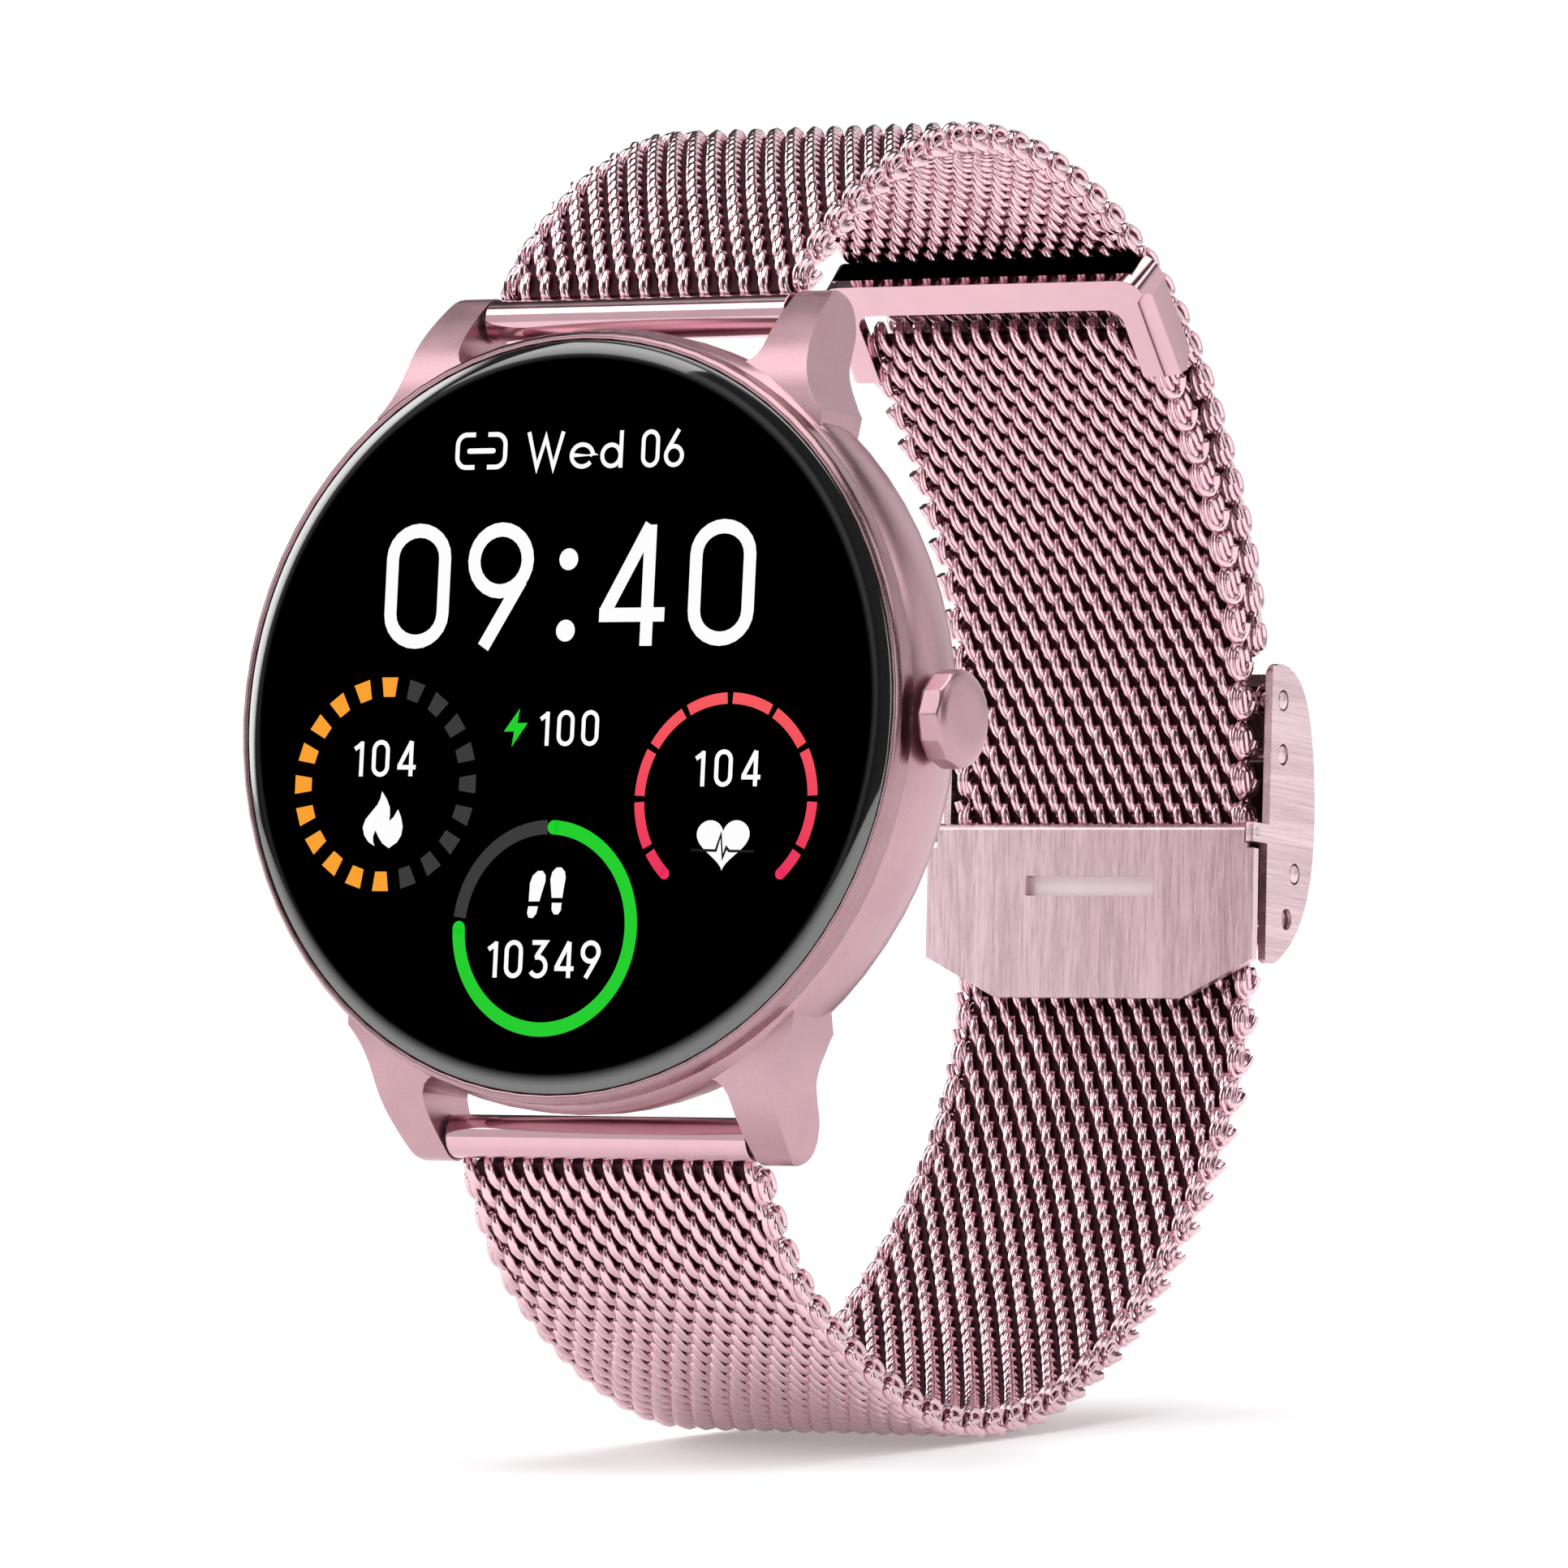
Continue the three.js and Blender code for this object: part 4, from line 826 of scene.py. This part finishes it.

# Painted shade: near-black metal for the sheet inside the mesh, where the coils shade each other.
shadow = Finish("mesh_shadow")
shadow_grain = shadow.noise(shadow.place(), 3000, 2.0)
painted_shade_metal = shadow.surface(
    Base_Color=shadow.mix(shadow_grain, rgb(0.035, 0.012, 0.016), rgb(0.07, 0.026, 0.034)), Metallic=1.0,
    Roughness=shadow.spread(shadow_grain, 0.3, 0.7, 0.5, 0.65))

weave = weave_tree(wire_metal)
curls = curl_tree(wire_metal)
START_GAP, END_GAP = 0.75, 0.3


def span(line, start, end):
    """The stretch of a fine line between two lengths along it."""
    kept, run = [], 0.0
    for before, after in zip(line, line[1:]):
        run += (after - before).length
        if start <= run <= end:
            kept.append(after)
    return kept


def length_of(line):
    return sum((after - before).length for before, after in zip(line, line[1:]))


def core(name, line, body):
    """A dark sheet inside the mesh: painted shade that stands for the dark between the coils."""
    bm = bmesh.new()
    rings = []
    for before, after in zip(line[::CORE_STEP], line[CORE_STEP::CORE_STEP]):
        along = (after - before).normalized()
        out = Vector((along.y, -along.x)) * CORE_THICK / 2
        half = MESH_WIDTH / 2 - CORE_EDGE
        rings.append([bm.verts.new((x / 1000, (before.x + side * out.x - FRONT_TO_WRIST) / 1000,
                                    (before.y + side * out.y) / 1000))
                      for x, side in ((-half, 1), (half, 1), (half, -1), (-half, -1))])
    for ring, following in zip(rings, rings[1:]):
        for at in range(4):
            bm.faces.new((ring[at], ring[(at + 1) % 4], following[(at + 1) % 4], following[at]))
    bm.faces.new(rings[0])
    bm.faces.new(rings[-1])
    bmesh.ops.recalc_face_normals(bm, faces=bm.faces)
    shown(name, as_mesh(bm, name), painted_shade_metal, body, "mesh_metal")


def woven(name, line, start, rows, body, stands_for):
    """One stretch of a bracelet half: its rows of coils, and the curls along both edges."""
    part_line = span(line, start, start + (rows - 1) * ROW_STEP)
    coils = grown(weave, part_line, {
        "Rows": rows, "Pitch": COIL_PITCH / 1000, "Turns": COIL_TURNS,
        "Half Length": COIL_HALF_LENGTH / 1000, "Half Depth": COIL_HALF_DEPTH / 1000,
        "Wire Radius": WIRE_RADIUS / 1000})
    shown(f"{name}_coils", coils, None, body, "mesh_metal", *stands_for)
    curl_line = span(line, start + ROW_STEP / 2, start + (rows - 1.5) * ROW_STEP)
    edges = grown(curls, curl_line, {
        "Curls": rows // 2, "Half Width": (MESH_WIDTH / 2 - CURL_WIRE) / 1000,
        "Curl Radius": CURL_RADIUS / 1000, "Curl Stretch": CURL_STRETCH,
        "Ring Length": HOOP_LENGTH / 1000, "Ring Depth": HOOP_DEPTH / 1000,
        "Hoop Inset": HOOP_INSET / 1000, "Wire Radius": CURL_WIRE / 1000})
    shown(f"{name}_curls", edges, None, body, "mesh_metal")


upper_line = through([Vector(p) for p in UPPER_LINE])
lower_line = through([Vector(p) for p in LOWER_LINE])
upper_rows = 2 * int((length_of(upper_line) - START_GAP - END_GAP) / ROW_STEP / 2) + 1
lower_rows = 2 * int((length_of(lower_line) - START_GAP - END_GAP) / ROW_STEP / 2) + 1
half_rows = 2 * (lower_rows // 4)
# The dark sheets inside both halves are painted shade.
core("upper_mesh_shade_sheet", upper_line, "upper_strap")
core("lower_mesh_shade_sheet", lower_line, "lower_strap")
woven("upper_mesh", upper_line, START_GAP, upper_rows, "upper_strap", ["upper_mesh_strap"])
woven("lower_mesh_front", lower_line, START_GAP, half_rows, "lower_strap", ["lower_mesh_strap"])
woven("lower_mesh_tail", lower_line, START_GAP + half_rows * ROW_STEP, lower_rows - half_rows,
      "lower_strap", [])

# ---- tail keeper --------------------------------------------------------------------------------
# A polished channel of folded steel round the end of the lower half. Its inner plate is an upside
# down U with rounded corners, and its sides fold back round the mesh.
KEEPER_WINDOW, KEEPER_TIP, KEEPER_SHOULDER, KEEPER_FOLD = 1.0, 0.7, 1.6, 0.8     # corner radii
KEEPER_PLATE, KEEPER_PRONG = 0.8, 2.1
KEEPER_FOOT = Vector((48.2 - FRONT_TO_WRIST, 24.95))
KEEPER_TOP = Vector((43.5 - FRONT_TO_WRIST, 30.1))
NEAR = 0.05


def keeper_mesh():
    bm = merged_copy("tail_keeper")
    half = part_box("tail_keeper")[1].x * 1000
    along = (KEEPER_TOP - KEEPER_FOOT).normalized()
    out = Vector((along.y, -along.x))
    length = (KEEPER_TOP - KEEPER_FOOT).length

    def local(vertex):
        away = Vector((vertex.co.y * 1000, vertex.co.z * 1000)) - KEEPER_FOOT
        return vertex.co.x * 1000, away.dot(along), away.dot(out)

    def rounded(radius, segments, wanted):
        bm.normal_update()
        edges = [e for e in bm.edges if wanted(local(e.verts[0]), local(e.verts[1]))]
        if edges:
            bmesh.ops.bevel(bm, geom=edges, offset=radius / 1000, segments=segments, profile=0.5,
                            affect="EDGES")

    def across_plate(a, b):
        return (abs(a[0] - b[0]) < NEAR and abs(a[1] - b[1]) < NEAR
                and abs(abs(a[2] - b[2]) - KEEPER_PLATE) < NEAR)

    def on_prong(a):
        return abs(abs(a[0]) - half + KEEPER_PRONG) < 2 * NEAR

    rounded(KEEPER_WINDOW, 6, lambda a, b: across_plate(a, b) and on_prong(a) and a[1] > 2)
    rounded(KEEPER_TIP, 5, lambda a, b: across_plate(a, b) and on_prong(a) and a[1] < 0.5)
    rounded(KEEPER_SHOULDER, 8, lambda a, b: abs(abs(a[0]) - half) < NEAR and abs(a[0] - b[0]) < NEAR
            and abs(a[1] - length) < NEAR and abs(b[1] - length) < NEAR)
    rounded(KEEPER_FOLD, 6, lambda a, b: abs(abs(a[0]) - half) < NEAR and abs(abs(b[0]) - half) < NEAR
            and a[0] * b[0] > 0 and abs(a[2]) < NEAR and abs(b[2]) < NEAR)
    return softened(as_mesh(bm, "keeper"), 0.10, steps=2)


shown("keeper", keeper_mesh(), polished, "lower_strap", "polished_metal", "tail_keeper")

# ---- clasp --------------------------------------------------------------------------------------
# A brushed steel cover bent round the mesh, with two D-shaped sides. Four rivets cross it, and the
# end of the upper half is looped round the first of them.
BRUSHED_COLOUR = (rgb(0.60, 0.43, 0.465), rgb(0.86, 0.66, 0.70))


def brushed_finish(name, scale, turn, roughness, depth=0.35):
    """Brushed steel: long fine scratches in one direction."""
    finish = Finish(name)
    scratches = finish.noise(finish.stretched(scale, turn), 1.0, 4.0, 0.7)
    bands = finish.noise(finish.stretched(tuple(s / 9 for s in scale), turn), 1.0, 2.0)
    tint = finish.spread(scratches * 0.65 + bands * 0.35, 0.34, 0.66, 0.0, 1.0)
    return finish.surface(Base_Color=finish.mix(tint, *BRUSHED_COLOUR), Metallic=1.0,
                          Roughness=finish.spread(scratches, 0.3, 0.7, roughness - 0.06, roughness + 0.1),
                          Normal=finish.bump(scratches, depth, 0.00004))


COVER_TURN = (math.radians(17), 0, 0)
cover_brushed = brushed_finish("cover_brushed", (6500, 110, 6500), COVER_TURN, 0.3)
refined("clasp_shell", "clasp_cover", cover_brushed, "upper_strap", "brushed_metal", 0.07, steps=2)
rivet_brushed = brushed_finish("rivet_brushed", (3000, 3000, 3000), (0, 0, 0), 0.24, 0.15)
for rivet in ("knuckle", "hook", "guide", "stop"):
    refined(f"{rivet}_rivet", f"clasp_{rivet}_pin", rivet_brushed, "upper_strap", "brushed_metal", 0.08,
            steps=2)
refined("end_knuckle", "upper_end_knuckle", polished, "upper_strap", "polished_metal", 0.08, steps=2)

# ---- lock plate ---------------------------------------------------------------------------------
# The hinged plate that presses the lower half against the rivets: brushed steel, rolled round its
# pin at the top, tapered at the foot, with a slot for the finger nail.
plate_brushed = brushed_finish("plate_brushed", (6500, 6500, 70), (0, 0, 0), 0.3)
refined("lock_plate_shell", "lock_plate", plate_brushed, "lock", "brushed_metal", 0.06, steps=2)

SLOT_Y, SLOT_Z, SLOT_HALF_WIDTH, SLOT_HALF_HEIGHT = 60.86, -4.35, 4.9, 0.85
SLOT_BACK_THICK = 0.1
# Painted light: a thin pale plate fills the slot from behind, so the slot looks bright.
slot_back_bm = bmesh.new()
bmesh.ops.create_cube(slot_back_bm, size=1.0)
slot_back_mesh = as_mesh(slot_back_bm, "slot_back")
slot_back_place = Matrix.Translation((0, (SLOT_Y - FRONT_TO_WRIST) / 1000, SLOT_Z / 1000))
slot_back_mesh.transform(slot_back_place @ Matrix.Diagonal(
    (2 * SLOT_HALF_WIDTH / 1000, SLOT_BACK_THICK / 1000, 2 * SLOT_HALF_HEIGHT / 1000, 1)))
slot_painted_light = satin_finish("slot_painted_light", (rgb(0.86, 0.74, 0.77), rgb(0.95, 0.84, 0.87)), 0.5)
shown("lock_plate_slot_back", slot_back_mesh, slot_painted_light, "lock", "brushed_metal")

# ---- studio -------------------------------------------------------------------------------------
# A pale floor under the lowest row of the bracelet, a white backdrop and soft boxes all round.
FLOOR_TILT = math.radians(7.0)
FLOOR_HALF = 3.0
FLOOR_GAP = 0.0006
MIDDLE_Y = 0.02
lowest = cad_box[0].z - FLOOR_GAP
floor_bm = bmesh.new()
bmesh.ops.create_grid(floor_bm, x_segments=8, y_segments=8, size=FLOOR_HALF)
floor_mesh = as_mesh(floor_bm, "floor")
floor_mesh.transform(Matrix.Translation((0, MIDDLE_Y, lowest)) @ Matrix.Rotation(FLOOR_TILT, 4, "X"))
floor = bpy.data.objects.new("floor", floor_mesh)
scene.collection.objects.link(floor)
paper = Finish("pale_paper")
paper_grain = paper.noise(paper.place(), 300, 3.0)
floor_mesh.materials.append(paper.surface(
    Base_Color=paper.mix(paper_grain, rgb(0.93, 0.93, 0.93), rgb(0.96, 0.96, 0.96)), Roughness=0.9,
    Specular_IOR_Level=0.1, Emission_Color=rgb(1, 1, 1), Emission_Strength=0.25))

world = bpy.data.worlds.new("studio")
scene.world = world
studio = Finish("studio", world)
looking = studio.out("ShaderNodeTexCoord", "Generated")


def soft_box(direction, inner, outer, strength):
    """A round soft light in one direction of the sky, from the cosines of its inner and outer edge."""
    aim = Vector(direction).normalized()
    facing = studio.out("ShaderNodeVectorMath", "Value", {"operation": "DOT_PRODUCT"}, i0=looking,
                        i1=tuple(aim))
    return studio.spread(facing, outer, inner, 0.0, strength)


BOXES = [((0.0, -0.1, 1.0), 0.93, 0.82, 2.6), ((-0.95, -0.10, 0.35), 0.95, 0.90, 4.0),
         ((-0.50, -0.85, 0.15), 0.96, 0.84, 0.75), ((0.70, 0.65, 0.25), 0.97, 0.88, 0.9),
         ((0.0, 0.90, 0.45), 0.97, 0.88, 0.9), ((0.8, -0.6, 0.2), 0.985, 0.94, 1.6)]
glow = 0.06
for box_made in BOXES:
    glow = soft_box(*box_made) + glow
seen = studio.out("ShaderNodeLightPath", "Is Camera Ray")
strength = seen * 1.0 + (1 - seen) * glow
background = studio.node("ShaderNodeBackground", None, Color=rgb(1, 1, 1), Strength=strength)
world_output = studio.node("ShaderNodeOutputWorld")
studio.tree.links.new(background.outputs[0], world_output.inputs[0])

for light_name, light_place, light_size, power in (
        ("key_light", (-0.45, -0.55, 0.60), 0.40, 1.3), ("fill_light", (0.70, 0.10, 0.55), 0.35, 0.7)):
    lamp = bpy.data.lights.new(light_name, "AREA")
    lamp.shape, lamp.size, lamp.energy = "SQUARE", light_size, power
    lamp_object = bpy.data.objects.new(light_name, lamp)
    lamp_object.location = light_place
    toward_watch = Vector((0, MIDDLE_Y, 0)) - Vector(light_place)
    lamp_object.rotation_euler = toward_watch.to_track_quat("-Z", "Y").to_euler()
    scene.collection.objects.link(lamp_object)
